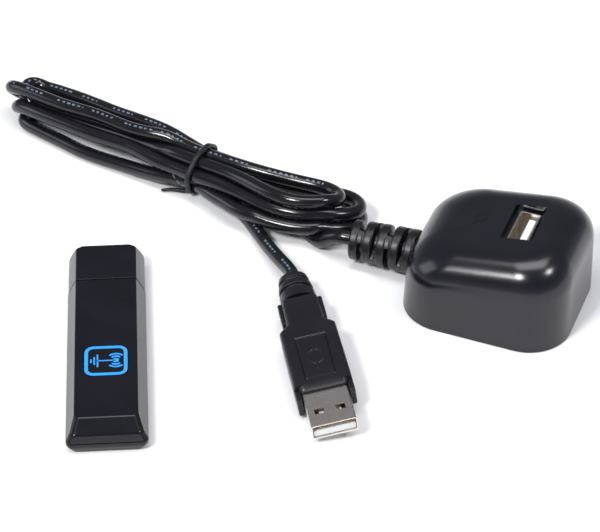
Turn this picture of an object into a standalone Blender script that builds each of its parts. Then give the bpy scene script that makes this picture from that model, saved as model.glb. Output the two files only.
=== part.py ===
"""Wireless USB stick with its pull-off cap, and the desk cradle it plugs into, with its tied lead and plug.

The stick lies along +Y with its cap at the far end. Its underside is on z = 0, with the origin at the middle of
it. Sizes below are in millimetres and are turned into metres where a mesh is made.
"""

import math

import bmesh
import bpy
import numpy as np
from mathutils import Matrix, Vector

MM = 0.001
GAP = 0.3
FIT = 0.15

# Stick
STICK_LENGTH = 74.5
STICK_THICKNESS = 8.6
STICK_HALF_WIDTH = 10.55
STICK_TOP_HALF_WIDTH = 8.15
STICK_FOOT_HALF_WIDTH = 9.2
STICK_WAIST_LOW = 2.2
STICK_WAIST_HIGH = 3.7
STICK_SPLIT = 3.5
TAIL_CHAMFER_RUN = 4.0
TAIL_CHAMFER_DROP = 2.6
STICK_CORNER = 1.0
CAP_LENGTH = 15.8
CAP_CORNER = (1.6, 1.0)
COVER_WALL = 1.2
BADGE_SIDE = 11.4
BADGE_CENTRE_Y = -11.6
BADGE_THICKNESS = 0.35

# Plug and receptacle
SHELL_WIDTH = 12.0
SHELL_HEIGHT = 4.5
SHELL_WALL = 0.3
SHELL_OUT = 12.4
SHELL_IN = 6.5
WINDOW_WIDTH = 2.5
WINDOW_LENGTH = 2.0
WINDOW_BACK = 5.2
WINDOW_SPACING = 5.6
CONTACT_PITCHES = (-3.5, -1.0, 1.0, 3.5)
CONTACT_WIDTH = 1.0
CONTACT_THICKNESS = 0.3
SOCKET_WIDTH = 13.1
SOCKET_HEIGHT = 5.7
SOCKET_DEPTH = 14.0

# Cradle
CRADLE_PLACE = (107.3, 18.9)
CRADLE_TURN = math.radians(-25.2)
CRADLE_SIZE = (47.1, 43.4)
CRADLE_CORNER = 12.4
CRADLE_HEIGHT = 24.4
CRADLE_SLOPE = 0.169
CRADLE_DRAFT = 0.5
CRADLE_ROUND = 9.8
CRADLE_WALL = 2.3
BASE_PLATE_LOW = 1.3
BASE_PLATE_THICKNESS = 1.6
PAD_THICKNESS = 1.0
POCKET_SIZE = (8.9, 15.2)
POCKET_PLACE = (5.65, 1.55)
POCKET_FLOOR = 22.7
SOCKET_TOP = 23.5
BOARD_THICKNESS = 1.2
EXIT_HEIGHT = 6.9
RELIEF_LENGTH = 18.8
RELIEF_BEND = 1.6
RELIEF_RIBS = 5
RELIEF_ROOT_RADIUS = 6.5
RELIEF_TIP_RADIUS = 5.6
RELIEF_CORE_RADIUS = 3.3
RELIEF_OUTSIDE_X = -CRADLE_SIZE[0] / 2 - 0.25
RELIEF_INSIDE_X = -CRADLE_SIZE[0] / 2 + CRADLE_WALL + 1.0
RELIEF_FLANGE = 2.2

# Lead
CORD_DIAMETER = 4.0
HANK_PLACE = (27.4, 70.8)
HANK_TURN = math.radians(-32.5)
HANK_LOW = 0.2
HANK_HIGH = 13.9
HANK_FAR_SHARE = 0.88
TIE_THICKNESS = 1.6
TIE_WIDTH = 1.8
TIE_CLEAR_WIDTH = 14.6
TIE_LOW = 0.3

# Lead's plug
PLUG_PLACE = (50.9, 22.4)
PLUG_TURN = math.radians(-83.2)
PLUG_ROLL = math.radians(-8.0)
PLUG_AXIS_HEIGHT = 5.1
OVERMOULD_LENGTH = 34.8
OVERMOULD_WIDTH = 15.6
OVERMOULD_NECK_WIDTH = 10.4
OVERMOULD_HEIGHT = 7.8
SHOULDER_START = 10.7
SHOULDER_END = 13.0
WING_LENGTH = 8.4
WING_WIDTH = 12.3
COLLAR_OUT = 1.7
CHEEK_OUT = 4.1
BOOT_LENGTH = 10.8


def clear_scene():
    """Remove every object that the scene starts with."""
    for item in list(bpy.data.objects):
        bpy.data.objects.remove(item, do_unlink=True)


def material(name, colour, roughness, metallic=0.0):
    """Principled material of one colour."""
    made = bpy.data.materials.new(name)
    made.use_nodes = True
    shader = made.node_tree.nodes["Principled BSDF"]
    shader.inputs["Base Color"].default_value = (*colour, 1.0)
    shader.inputs["Roughness"].default_value = roughness
    shader.inputs["Metallic"].default_value = metallic
    made.diffuse_color = (*colour, 1.0)
    return made


def frame(name, place, turn=0.0, roll=0.0, parent=None):
    """Empty that carries pieces: placed in millimetres, turned about Z, then rolled about its own Y."""
    empty = bpy.data.objects.new(name, None)
    bpy.context.collection.objects.link(empty)
    empty.matrix_world = (
        Matrix.Translation(Vector(place) * MM)
        @ Matrix.Rotation(turn, 4, "Z")
        @ Matrix.Rotation(roll, 4, "Y")
    )
    if parent is not None:
        empty.parent = parent
    return empty


def solid(name, vertices, faces, finish, parent=None, place=(0.0, 0.0, 0.0)):
    """Object from points in millimetres, with its faces turned outwards."""
    mesh = bpy.data.meshes.new(name)
    mesh.from_pydata([tuple(c * MM for c in v) for v in vertices], [], faces)
    work = bmesh.new()
    work.from_mesh(mesh)
    bmesh.ops.recalc_face_normals(work, faces=work.faces)
    work.to_mesh(mesh)
    work.free()
    made = bpy.data.objects.new(name, mesh)
    bpy.context.collection.objects.link(made)
    mesh.materials.append(finish)
    made.location = Vector(place) * MM
    if parent is not None:
        made.parent = parent
    return made


def loft(name, rings, finish, parent=None, place=(0.0, 0.0, 0.0)):
    """Closed skin through rings of equally many points, with a flat end on the first and the last."""
    count = len(rings[0])
    vertices = [point for ring in rings for point in ring]
    faces = [tuple(range(count)), tuple(range((len(rings) - 1) * count, len(rings) * count))]
    for low in range(len(rings) - 1):
        for i in range(count):
            j = (i + 1) % count
            faces.append((low * count + i, low * count + j, (low + 1) * count + j, (low + 1) * count + i))
    return solid(name, vertices, faces, finish, parent, place)


def block(name, size, centre, finish, parent=None, bevel=0.0):
    """Rectangular block about its centre, with an optional small bevel on every edge."""
    x, y, z = (side / 2 for side in size)
    low = [(-x, -y, -z), (x, -y, -z), (x, y, -z), (-x, y, -z)]
    high = [(px, py, z) for px, py, _ in low]
    made = loft(name, [low, high], finish, parent, centre)
    if bevel:
        edge = made.modifiers.new("edges", "BEVEL")
        edge.width = bevel * MM
        edge.segments = 2
    return made


def rounded_outline(width, depth, radius, steps=6):
    """Rectangle in X and Y with round corners, anticlockwise."""
    points = []
    corners = ((1, 1, 0.0), (-1, 1, 90.0), (-1, -1, 180.0), (1, -1, 270.0))
    for side_x, side_y, start in corners:
        centre_x = side_x * (width / 2 - radius)
        centre_y = side_y * (depth / 2 - radius)
        for step in range(steps + 1):
            angle = math.radians(start + 90.0 * step / steps)
            points.append((centre_x + radius * math.cos(angle), centre_y + radius * math.sin(angle)))
    return points


def at_height(outline, z):
    """Give a flat outline its height."""
    return [(x, y, z) for x, y in outline]


def along_y(outline, y):
    """Stand a flat outline up across the Y axis: its X stays, its Y becomes Z."""
    return [(x, y, z) for x, z in outline]


def along_x(radius, x, sides=20):
    """Circle across the X axis."""
    angles = [2 * math.pi * i / sides for i in range(sides)]
    return [(x, radius * math.cos(a), radius * math.sin(a)) for a in angles]


def cylinder(name, radius, low, high, centre, finish, parent=None, sides=16):
    """Upright round bar between two heights."""
    ring = [(radius * math.cos(2 * math.pi * i / sides), radius * math.sin(2 * math.pi * i / sides))
            for i in range(sides)]
    return loft(name, [at_height(ring, low), at_height(ring, high)], finish, parent, (*centre, 0.0))


def combine(target, tool, operation):
    """Boolean the tool into or out of the target, and keep the tool only as a hidden guide."""
    step = target.modifiers.new(operation.lower(), "BOOLEAN")
    step.operation = operation
    step.solver = "EXACT"
    step.object = tool
    tool.hide_render = True
    tool.display_type = "WIRE"


def smooth(made, angle=35.0):
    """Shade round stretches smooth and keep the edges sharp."""
    made.data.shade_smooth()
    made.data.set_sharp_from_angle(angle=math.radians(angle))


# ---------------------------------------------------------------- USB plug, shared by the stick and the lead


def usb_plug(prefix, parent, mouth_y, direction, axis_z, finishes):
    """Steel shell with its four windows, the insulator in it, and four contacts.

    The mouth is at mouth_y and the shell runs back from it, so direction is +1 when the mouth looks along +Y.
    """
    steel, plastic, gold = finishes
    length = SHELL_OUT + SHELL_IN
    back_y = mouth_y - direction * length
    middle_y = (mouth_y + back_y) / 2
    outer = rounded_outline(SHELL_WIDTH, SHELL_HEIGHT, 0.6, 3)
    inner = rounded_outline(SHELL_WIDTH - 2 * SHELL_WALL, SHELL_HEIGHT - 2 * SHELL_WALL, 0.35, 3)
    shell = loft(prefix + "plug_shell", [along_y(outer, -length / 2), along_y(outer, length / 2)],
                 steel, parent, (0, middle_y, axis_z))
    bore = loft(prefix + "shell_bore", [along_y(inner, -length), along_y(inner, length)],
                steel, parent, (0, middle_y, axis_z))
    combine(shell, bore, "DIFFERENCE")
    for side in (-1, 1):
        window = block(prefix + "window_cutter", (WINDOW_WIDTH, WINDOW_LENGTH, 2 * SHELL_HEIGHT),
                       (side * WINDOW_SPACING / 2, mouth_y - direction * WINDOW_BACK, axis_z), steel, parent)
        combine(shell, window, "DIFFERENCE")
    floor_z = axis_z - SHELL_HEIGHT / 2 + SHELL_WALL + FIT
    body_height = 1.75
    body_length = length - 0.8
    block(prefix + "plug_insulator", (SHELL_WIDTH - 2 * SHELL_WALL - 0.4, body_length, body_height),
          (0, mouth_y - direction * (0.5 + body_length / 2), floor_z + body_height / 2), plastic, parent)
    contact_z = floor_z + body_height + 0.1 + CONTACT_THICKNESS / 2
    for number, x in enumerate(CONTACT_PITCHES, 1):
        span = 8.6 if abs(x) > 2 else 7.6
        block(f"{prefix}contact_{number}", (CONTACT_WIDTH, span, CONTACT_THICKNESS),
              (x, mouth_y - direction * (1.2 + span / 2 + (8.6 - span)), contact_z), gold, parent)


# ---------------------------------------------------------------- stick


def stick_outline(half_width, tail_y, front_y, corner):
    """Plan outline of the stick at one height: square at the front, clipped corners at the tail."""
    return [
        (half_width, front_y), (-half_width, front_y), (-half_width, tail_y + corner),
        (-half_width + corner, tail_y), (half_width - corner, tail_y), (half_width, tail_y + corner),
    ]


def stick_levels(front_y, inset=0.0):
    """The stick body's outlines from the underside to the top face, moved in by inset."""
    tail = -STICK_LENGTH / 2
    top = STICK_THICKNESS
    table = (
        (0.0, STICK_FOOT_HALF_WIDTH, tail + 0.9),
        (STICK_WAIST_LOW, STICK_HALF_WIDTH, tail),
        (STICK_WAIST_HIGH, STICK_HALF_WIDTH, tail),
        (top - TAIL_CHAMFER_DROP, STICK_HALF_WIDTH - 1.15, tail + 0.6),
        (top, STICK_TOP_HALF_WIDTH, tail + 0.6 + TAIL_CHAMFER_RUN),
    )
    rings = []
    for z, half_width, tail_y in table:
        height = min(max(z, inset), top - inset)
        outline = stick_outline(half_width - inset, tail_y + inset, front_y, STICK_CORNER)
        rings.append(at_height(outline, height))
    return rings


def between(rings, low, high):
    """Rings of a loft between two heights, with straight cuts across it where the limits fall."""
    kept = []
    for one, two in zip(rings, rings[1:]):
        z1, z2 = one[0][2], two[0][2]
        for limit in (low, high):
            if z1 < limit < z2:
                share = (limit - z1) / (z2 - z1)
                kept.append([tuple(a + share * (b - a) for a, b in zip(p, q)) for p, q in zip(one, two)])
    inside = [ring for ring in rings if low <= ring[0][2] <= high]
    return sorted(kept + inside, key=lambda ring: ring[0][2])


def stick(finishes):
    """Body covers, badge, board with its parts, plug and cap."""
    black, board_green, chip_black, steel, white, gold, badge_blue, ceramic, tin = finishes
    body = frame("adapter_frame", (0, 0, 0))
    seam = STICK_LENGTH / 2 - CAP_LENGTH
    front = seam - GAP / 2
    axis_z = STICK_THICKNESS / 2
    outer = stick_levels(front)
    hollow = stick_levels(front - COVER_WALL - 0.2, COVER_WALL)
    bottom = loft("stick_bottom_cover", between(outer, 0.0, STICK_SPLIT - FIT), black, body)
    top = loft("stick_top_cover", between(outer, STICK_SPLIT + FIT, STICK_THICKNESS), black, body)
    cavity = loft("stick_cavity", hollow, black, body)
    throat = block("stick_throat", (SHELL_WIDTH + 2 * GAP, 6.0, SHELL_HEIGHT + 2 * GAP),
                   (0, front - 2.0, axis_z), black, body)
    seat = block("badge_seat", (BADGE_SIDE + 2 * FIT, BADGE_SIDE + 2 * FIT, 1.0),
                 (0, BADGE_CENTRE_Y, STICK_THICKNESS - BADGE_THICKNESS - FIT + 0.5), black, body)
    for cover in (bottom, top):
        combine(cover, cavity, "DIFFERENCE")
        combine(cover, throat, "DIFFERENCE")
    combine(top, seat, "DIFFERENCE")
    badge = rounded_outline(BADGE_SIDE, BADGE_SIDE, 1.8, 4)
    loft("radio_badge", [at_height(badge, 0.0), at_height(badge, BADGE_THICKNESS)], badge_blue, body,
         (0, BADGE_CENTRE_Y, STICK_THICKNESS - BADGE_THICKNESS))

    board_z = 2.2
    tail = -STICK_LENGTH / 2
    block("stick_circuit_board", (16.0, 46.0, 0.8), (0, tail + 27.5, board_z), board_green, body)
    top_z = board_z + 0.4 + 0.1
    parts = (
        ("stick_radio_chip", (7.0, 7.0, 0.9), (0.0, -9.0), chip_black),
        ("stick_shield_can", (11.0, 9.0, 1.5), (0.0, -18.5), tin),
        ("stick_crystal", (3.2, 2.5, 0.8), (5.6, -3.0), tin),
        ("stick_regulator", (3.0, 3.0, 1.0), (-5.4, -2.6), chip_black),
        ("stick_memory_chip", (4.0, 3.0, 0.8), (0.0, 1.2), chip_black),
        ("stick_power_capacitor", (3.2, 1.6, 1.4), (-5.6, 3.4), ceramic),
        ("stick_signal_capacitor", (2.0, 1.2, 1.2), (5.6, 3.4), ceramic),
        ("stick_chip_antenna", (7.0, 2.0, 1.1), (0.0, -29.5), ceramic),
    )
    for name, size, place, finish in parts:
        block(name, size, (*place, top_z + size[2] / 2), finish, body)

    usb_plug("stick_", body, seam + SHELL_OUT, 1, axis_z, (steel, white, gold))

    cap = frame("cap_frame", (0, seam, 0), parent=body)
    stick_cap(cap, black, axis_z)


def stick_cap(parent, finish, axis_z):
    """Cap with the body's section, a clipped far end and a pocket for the plug. Its frame is at the seam."""
    rings = []
    table = (
        (0.0, STICK_FOOT_HALF_WIDTH, CAP_LENGTH - 1.1),
        (STICK_WAIST_LOW, STICK_HALF_WIDTH, CAP_LENGTH),
        (STICK_WAIST_HIGH, STICK_HALF_WIDTH, CAP_LENGTH),
        (STICK_THICKNESS - TAIL_CHAMFER_DROP, STICK_HALF_WIDTH - 1.15, CAP_LENGTH - 0.2),
        (STICK_THICKNESS, STICK_TOP_HALF_WIDTH, CAP_LENGTH - 1.2),
    )
    across, along = CAP_CORNER
    for z, half_width, far_y in table:
        outline = [
            (half_width, GAP / 2), (half_width, far_y - along), (half_width - across, far_y),
            (-half_width + across, far_y), (-half_width, far_y - along), (-half_width, GAP / 2),
        ]
        rings.append(at_height(outline, z))
    cap = loft("stick_cap", rings, finish, parent)
    pocket = block("cap_pocket", (SHELL_WIDTH + 2 * GAP, 2 * (SHELL_OUT + 0.6), SHELL_HEIGHT + 2 * GAP),
                   (0, 0, axis_z), finish, parent)
    combine(cap, pocket, "DIFFERENCE")


# ---------------------------------------------------------------- cradle


def sloped(ring):
    """Raise a ring in proportion to its height, so that the top climbs away from the cord's side."""
    return [(x, y, z * (1 + CRADLE_SLOPE * x / CRADLE_HEIGHT)) for x, y, z in ring]


def cradle_levels(inset=0.0, top=CRADLE_HEIGHT, low=0.0):
    """Rounded-square outlines: drafted sides, then a quarter-round shoulder into the sloping flat top."""
    width, depth = CRADLE_SIZE
    shoulder = top - CRADLE_ROUND
    rings = []
    for z, pull in ((low, 0.0), (shoulder, CRADLE_DRAFT)):
        rings.append((z, pull))
    steps = 7
    for step in range(1, steps + 1):
        turn = math.radians(90.0 * step / steps)
        rings.append((shoulder + CRADLE_ROUND * math.sin(turn),
                      CRADLE_DRAFT + CRADLE_ROUND * (1 - math.cos(turn))))
    made = []
    for z, pull in rings:
        both = 2 * (pull + inset)
        radius = max(CRADLE_CORNER - inset - 0.45 * pull, 3.0)
        made.append(sloped(at_height(rounded_outline(width - both, depth - both, radius, 7), z)))
    return made


def cradle(finishes):
    """Housing, base, socket on its board, wires and the ribbed strain relief."""
    satin, pad_rubber, board_green, steel, white, gold, zinc, relief_black, wires = finishes
    base = frame("cradle_frame", (*CRADLE_PLACE, 0), CRADLE_TURN)
    width, depth = CRADLE_SIZE

    housing = loft("cradle_housing", cradle_levels(), satin, base)
    smooth(housing)
    hollow = loft("cradle_hollow", cradle_levels(CRADLE_WALL, CRADLE_HEIGHT - CRADLE_WALL, -1.0), satin, base)
    well = block("socket_well", (POCKET_SIZE[0] + 3.0, POCKET_SIZE[1] + 3.0, 12.0),
                 (*POCKET_PLACE, POCKET_FLOOR + 4.0), satin, base)
    combine(hollow, well, "DIFFERENCE")
    posts = [(-15.0, 13.0), (-15.0, -13.0), (18.0, 10.0), (18.0, -10.0)]
    for number, place in enumerate(posts):
        post = cylinder(f"housing_post_{number}", 2.6, 3.3, 2 * CRADLE_HEIGHT, place, satin, base)
        combine(hollow, post, "DIFFERENCE")
    combine(housing, hollow, "DIFFERENCE")
    pocket = loft("socket_pocket", [at_height(rounded_outline(*POCKET_SIZE, 0.5, 2), z) for z in (0.0, 10.0)],
                  satin, base, (*POCKET_PLACE, POCKET_FLOOR))
    slot = block("socket_slot", (SOCKET_HEIGHT + 2 * GAP, SOCKET_WIDTH + 2 * GAP, 20.0),
                 (*POCKET_PLACE, POCKET_FLOOR - 3.0), satin, base)
    exit_hole = loft("exit_hole", [along_x(RELIEF_CORE_RADIUS + 1.2, x) for x in (-6.0, 6.0)], satin, base,
                     (-width / 2, 0, EXIT_HEIGHT))
    for cutter in (pocket, slot, exit_hole):
        combine(housing, cutter, "DIFFERENCE")
    for number, place in enumerate(posts):
        pilot = cylinder(f"post_pilot_{number}", 1.35, 2.0, 11.0, place, satin, base, 12)
        combine(housing, pilot, "DIFFERENCE")

    inner = CRADLE_WALL + GAP
    plate_outline = rounded_outline(width - 2 * inner, depth - 2 * inner, CRADLE_CORNER - inner, 6)
    plate_top = BASE_PLATE_LOW + BASE_PLATE_THICKNESS
    plate = loft("cradle_base_plate",
                 [at_height(plate_outline, BASE_PLATE_LOW), at_height(plate_outline, plate_top)], satin, base)
    notch_x = -width / 2 + CRADLE_WALL + 0.2
    notch = block("relief_notch", (7.0, 12.0, 8.0), (notch_x, 0, plate_top), satin, base)
    combine(plate, notch, "DIFFERENCE")
    board_low = SOCKET_TOP - SOCKET_DEPTH - 0.2 - BOARD_THICKNESS
    rests = [(POCKET_PLACE[0], POCKET_PLACE[1] + side * 9.4) for side in (1, -1)]
    for number, place in enumerate(rests):
        rest_low = BASE_PLATE_LOW + 0.5
        rest = cylinder(f"board_rest_{number}", 2.3, rest_low, board_low - FIT, place, satin, base)
        combine(plate, rest, "UNION")
        pilot = cylinder(f"rest_pilot_{number}", 0.95, board_low - 5.0, board_low + 1.0, place, satin,
                         base, 10)
        combine(plate, pilot, "DIFFERENCE")
    for number, place in enumerate(posts):
        clearance = cylinder(f"plate_clearance_{number}", 1.5, 0.0, 5.0, place, satin, base, 12)
        combine(plate, clearance, "DIFFERENCE")
        sink = cylinder(f"plate_sink_{number}", 2.5, 0.0, BASE_PLATE_LOW + 0.7, place, satin, base, 14)
        combine(plate, sink, "DIFFERENCE")
        base_screw(f"cradle_base_screw_{number + 1}", place, zinc, base)
    pad_outline = rounded_outline(width - 2 * inner - 4, depth - 2 * inner - 4, CRADLE_CORNER - inner - 2, 5)
    loft("cradle_non_slip_pad", [at_height(pad_outline, 0.0), at_height(pad_outline, PAD_THICKNESS)],
         pad_rubber, base)

    cradle_socket(base, board_low, rests, (board_green, steel, white, gold, zinc))
    strain_relief(base, relief_black)
    lead_wires(base, board_low, wires)


def base_screw(name, place, finish, parent):
    """Pan-head screw driven up from below: its head sits in the plate's sink."""
    rings = []
    for radius, z in ((2.2, BASE_PLATE_LOW + 0.1), (2.2, BASE_PLATE_LOW + 0.55), (1.1, BASE_PLATE_LOW + 0.56),
                      (1.1, 10.0)):
        rings.append(at_height([(radius * math.cos(math.pi * i / 6), radius * math.sin(math.pi * i / 6))
                                for i in range(12)], z))
    loft(name, rings, finish, parent, (*place, 0.0))


def cradle_socket(base, board_low, rests, finishes):
    """Receptacle standing on its board with the mouth up: shell, core with its tongue, and four contacts."""
    board_green, steel, white, gold, zinc = finishes
    board = block("cradle_socket_board", (17.0, 24.0, BOARD_THICKNESS),
                  (*POCKET_PLACE, board_low + BOARD_THICKNESS / 2), board_green, base)
    for number, place in enumerate(rests):
        hole = cylinder(f"board_hole_{number}", 1.1, board_low - 1.0, board_low + 3.0, place, zinc, base, 12)
        combine(board, hole, "DIFFERENCE")
        rings = []
        head = board_low + BOARD_THICKNESS + 0.1
        for radius, z in ((0.8, board_low - 4.0), (0.8, head), (1.7, head + 0.01), (1.7, head + 1.0)):
            rings.append(at_height([(radius * math.cos(math.pi * i / 6), radius * math.sin(math.pi * i / 6))
                                    for i in range(12)], z))
        loft(f"cradle_board_screw_{number + 1}", rings, zinc, base, (*place, 0.0))

    socket_low = SOCKET_TOP - SOCKET_DEPTH
    outer = rounded_outline(SOCKET_HEIGHT, SOCKET_WIDTH, 0.5, 2)
    inner = rounded_outline(SOCKET_HEIGHT - 2 * SHELL_WALL, SOCKET_WIDTH - 2 * SHELL_WALL, 0.3, 2)
    shell = loft("cradle_socket_shell", [at_height(outer, socket_low), at_height(outer, SOCKET_TOP)],
                 steel, base, (*POCKET_PLACE, 0))
    bore = loft("socket_bore", [at_height(inner, socket_low - 1), at_height(inner, SOCKET_TOP + 1)],
                steel, base, (*POCKET_PLACE, 0))
    combine(shell, bore, "DIFFERENCE")
    tongue_x = POCKET_PLACE[0] + 0.95
    core_inset = 2 * SHELL_WALL + 0.3
    core = block("cradle_socket_core", (SOCKET_HEIGHT - core_inset, SOCKET_WIDTH - core_inset, 2.6),
                 (*POCKET_PLACE, socket_low + 0.1 + 1.3), white, base)
    tongue = block("socket_tongue", (1.84, 10.9, SOCKET_DEPTH - 1.6),
                   (tongue_x, POCKET_PLACE[1], socket_low + 0.2 + (SOCKET_DEPTH - 1.6) / 2), white, base)
    combine(core, tongue, "UNION")
    contact_x = tongue_x - 0.92 - 0.1 - CONTACT_THICKNESS / 2
    for number, y in enumerate(CONTACT_PITCHES, 1):
        span = 8.0
        block(f"cradle_socket_contact_{number}", (CONTACT_THICKNESS, CONTACT_WIDTH, span),
              (contact_x, POCKET_PLACE[1] + y, socket_low + 2.9 + span / 2), gold, base)


def strain_relief(base, finish):
    """Turned profile along -X: a flange inside the wall, a neck through it, and tapering ribs outside."""
    flange = RELIEF_CORE_RADIUS + 2.0
    neck = RELIEF_CORE_RADIUS + 0.8
    profile = [
        (RELIEF_INSIDE_X + RELIEF_FLANGE, flange), (RELIEF_INSIDE_X, flange),
        (RELIEF_INSIDE_X - 0.02, neck), (RELIEF_OUTSIDE_X + 0.02, neck),
    ]
    pitch = RELIEF_LENGTH / RELIEF_RIBS
    rib = 0.62 * pitch
    for number in range(RELIEF_RIBS):
        share = number / (RELIEF_RIBS - 1)
        radius = RELIEF_ROOT_RADIUS + share * (RELIEF_TIP_RADIUS - RELIEF_ROOT_RADIUS)
        near = RELIEF_OUTSIDE_X - number * pitch
        profile += [(near, radius), (near - rib, radius - 0.12)]
        if number < RELIEF_RIBS - 1:
            profile += [(near - rib - 0.02, RELIEF_CORE_RADIUS), (near - pitch + 0.02, RELIEF_CORE_RADIUS)]
    rings = []
    for x, radius in profile:
        rings.append([(px, py + relief_bend(x), pz) for px, py, pz in along_x(radius, x)])
    made = loft("cradle_strain_relief", rings, finish, base, (0, 0, EXIT_HEIGHT))
    smooth(made)


def relief_bend(x):
    """How far the strain relief's middle has moved sideways at x: it grows with the square of the way out."""
    way_out = max(RELIEF_OUTSIDE_X - x, 0.0)
    return -RELIEF_BEND * (way_out / RELIEF_LENGTH) ** 2


def relief_tip():
    """Where the cord leaves the strain relief, in the cradle's frame."""
    pitch = RELIEF_LENGTH / RELIEF_RIBS
    return RELIEF_OUTSIDE_X - (RELIEF_RIBS - 1) * pitch - 0.62 * pitch


def lead_wires(base, board_low, colours):
    """Four insulated wires from the strain relief's inner end to the underside of the board."""
    start_x = RELIEF_INSIDE_X + RELIEF_FLANGE + GAP
    for number, (name, finish) in enumerate(colours):
        offset = 1.5 * (number - 1.5)
        route = [
            (start_x, offset, EXIT_HEIGHT), (start_x + 4, offset * 1.1, EXIT_HEIGHT - 0.2),
            (start_x + 10, offset * 1.3, EXIT_HEIGHT - 1.2), (start_x + 17, offset * 1.2, EXIT_HEIGHT - 1.4),
            (start_x + 22, offset, EXIT_HEIGHT - 0.6), (start_x + 24.4, offset, board_low - GAP),
        ]
        tube("cradle_" + name, route, 1.1, finish, base, 12, 1)


# ---------------------------------------------------------------- lead


def smooth_route(points, count):
    """Evenly spaced points on the Catmull-Rom curve through a list of points."""
    marks = np.array(points, dtype=float)
    ends = np.vstack([2 * marks[0] - marks[1], marks, 2 * marks[-1] - marks[-2]])
    fine = []
    for a, b, c, d in zip(ends, ends[1:], ends[2:], ends[3:]):
        for t in np.linspace(0.0, 1.0, 40, endpoint=False):
            fine.append(0.5 * (2 * b + (c - a) * t + (2 * a - 5 * b + 4 * c - d) * t * t
                               + (3 * b - a - 3 * c + d) * t ** 3))
    fine = np.array(fine + [marks[-1]])
    run = np.concatenate([[0.0], np.cumsum(np.linalg.norm(np.diff(fine, axis=0), axis=1))])
    wanted = np.linspace(0.0, run[-1], count)
    return np.stack([np.interp(wanted, run, fine[:, axis]) for axis in range(3)], axis=1)


def tube(name, route, diameter, finish, parent, count, resolution):
    """Round cord along a smooth curve through the route's points, closed at both ends."""
    curve = bpy.data.curves.new(name, "CURVE")
    curve.dimensions = "3D"
    curve.bevel_depth = diameter / 2 * MM
    curve.bevel_resolution = resolution
    curve.use_fill_caps = True
    line = curve.splines.new("POLY")
    points = smooth_route(route, count)
    line.points.add(len(points) - 1)
    for place, point in zip(line.points, points):
        place.co = (*(point * MM), 1.0)
    made = bpy.data.objects.new(name, curve)
    bpy.context.collection.objects.link(made)
    curve.materials.append(finish)
    if parent is not None:
        made.parent = parent
    return made


def cradle_point(x, y, z):
    """A point of the cradle's frame in the world, in millimetres."""
    turned = Matrix.Rotation(CRADLE_TURN, 4, "Z") @ Vector((x, y, z))
    return (turned.x + CRADLE_PLACE[0], turned.y + CRADLE_PLACE[1], turned.z)


LEAD_IN = [(64.5, 37.2, 6.4), (61.2, 38.7, 5.2)]
LEAD_OUT = [(38.6, 50.6, 2.5), (41.7, 46.6, 2.3), (45.1, 39.8, 2.6), (48.2, 31.6, 3.9)]

# Half widths of the hank at places along it from the tie, left end to right end, and how far its middle bows
HANK_PROFILE = [
    (-62.0, 10.4), (-50.0, 10.2), (-34.0, 9.2), (-17.0, 7.9), (0.0, 7.2), (12.0, 8.2), (25.0, 9.6), (36.0, 9.2),
]
HANK_BOW = 0.0009
HANK_LEFT_END = 0.7
HANK_RIGHT_END = 1.75


def hank_end(x, half_width, reach, start):
    """Half ellipse round one end of the hank, from the angle start in degrees, flatter on the far side."""
    points = []
    for step in range(1, 8):
        angle = math.radians(start + 180.0 * step / 8)
        side = half_width * math.sin(angle)
        if side > 0:
            side *= HANK_FAR_SHARE
        points.append((x + reach * half_width * math.cos(angle), HANK_BOW * x * x + side))
    return points


def hank_outline():
    """Closed plan outline: widths along the hank, with a half ellipse round each end."""
    stations = np.array(HANK_PROFILE)
    far = [(x, HANK_BOW * x * x + HANK_FAR_SHARE * w) for x, w in stations]
    near = [(x, HANK_BOW * x * x - w) for x, w in stations]
    outline = list(near)
    last_x, last_w = stations[-1]
    first_x, first_w = stations[0]
    outline += hank_end(last_x, last_w, HANK_RIGHT_END, -90.0)
    outline += far[::-1]
    outline += hank_end(first_x, first_w, HANK_LEFT_END, 90.0)
    return outline


def lead(finishes):
    """The cord's tied hank, the tie round it, and the stretches that run to the cradle and to the plug."""
    cord_black, tie_black = finishes
    hank_frame = frame("hank_frame", (*HANK_PLACE, 0), HANK_TURN)
    outline = hank_outline()
    hank = loft("cord_hank", [at_height(outline, HANK_LOW), at_height(outline, HANK_HIGH)], cord_black,
                hank_frame)
    edge = hank.modifiers.new("edges", "BEVEL")
    edge.width = 3.0 * MM
    edge.segments = 2
    edge.limit_method = "ANGLE"
    edge.angle_limit = math.radians(60)

    tie_high = HANK_HIGH + 0.2
    middle_z = (TIE_LOW + tie_high) / 2
    outer_size = (TIE_CLEAR_WIDTH + 2 * TIE_THICKNESS, tie_high - TIE_LOW)
    inner_size = (TIE_CLEAR_WIDTH, outer_size[1] - 2 * TIE_THICKNESS)
    groove = tie_ring("tie_groove", (outer_size[0] + 8, outer_size[1] + 8),
                      (inner_size[0] - 2 * GAP, inner_size[1] - 2 * GAP), TIE_WIDTH + 2 * GAP,
                      middle_z, cord_black, hank_frame)
    combine(hank, groove, "DIFFERENCE")
    tie_ring("cord_tie", outer_size, inner_size, TIE_WIDTH, middle_z, tie_black, hank_frame)

    start = relief_tip() - GAP
    bend = relief_bend(start)
    route = [cradle_point(start, bend, EXIT_HEIGHT), cradle_point(start - 3.0, bend - 0.5, EXIT_HEIGHT - 0.1)]
    route += LEAD_IN
    tube("cord_to_cradle", route, CORD_DIAMETER, cord_black, None, 8, 2)
    entry = plug_point(0, 0.4, 0)
    before = plug_point(0, 4.0, -0.2)
    tube("cord_to_plug", LEAD_OUT + [before, entry], CORD_DIAMETER, cord_black, None, 12, 2)


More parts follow.
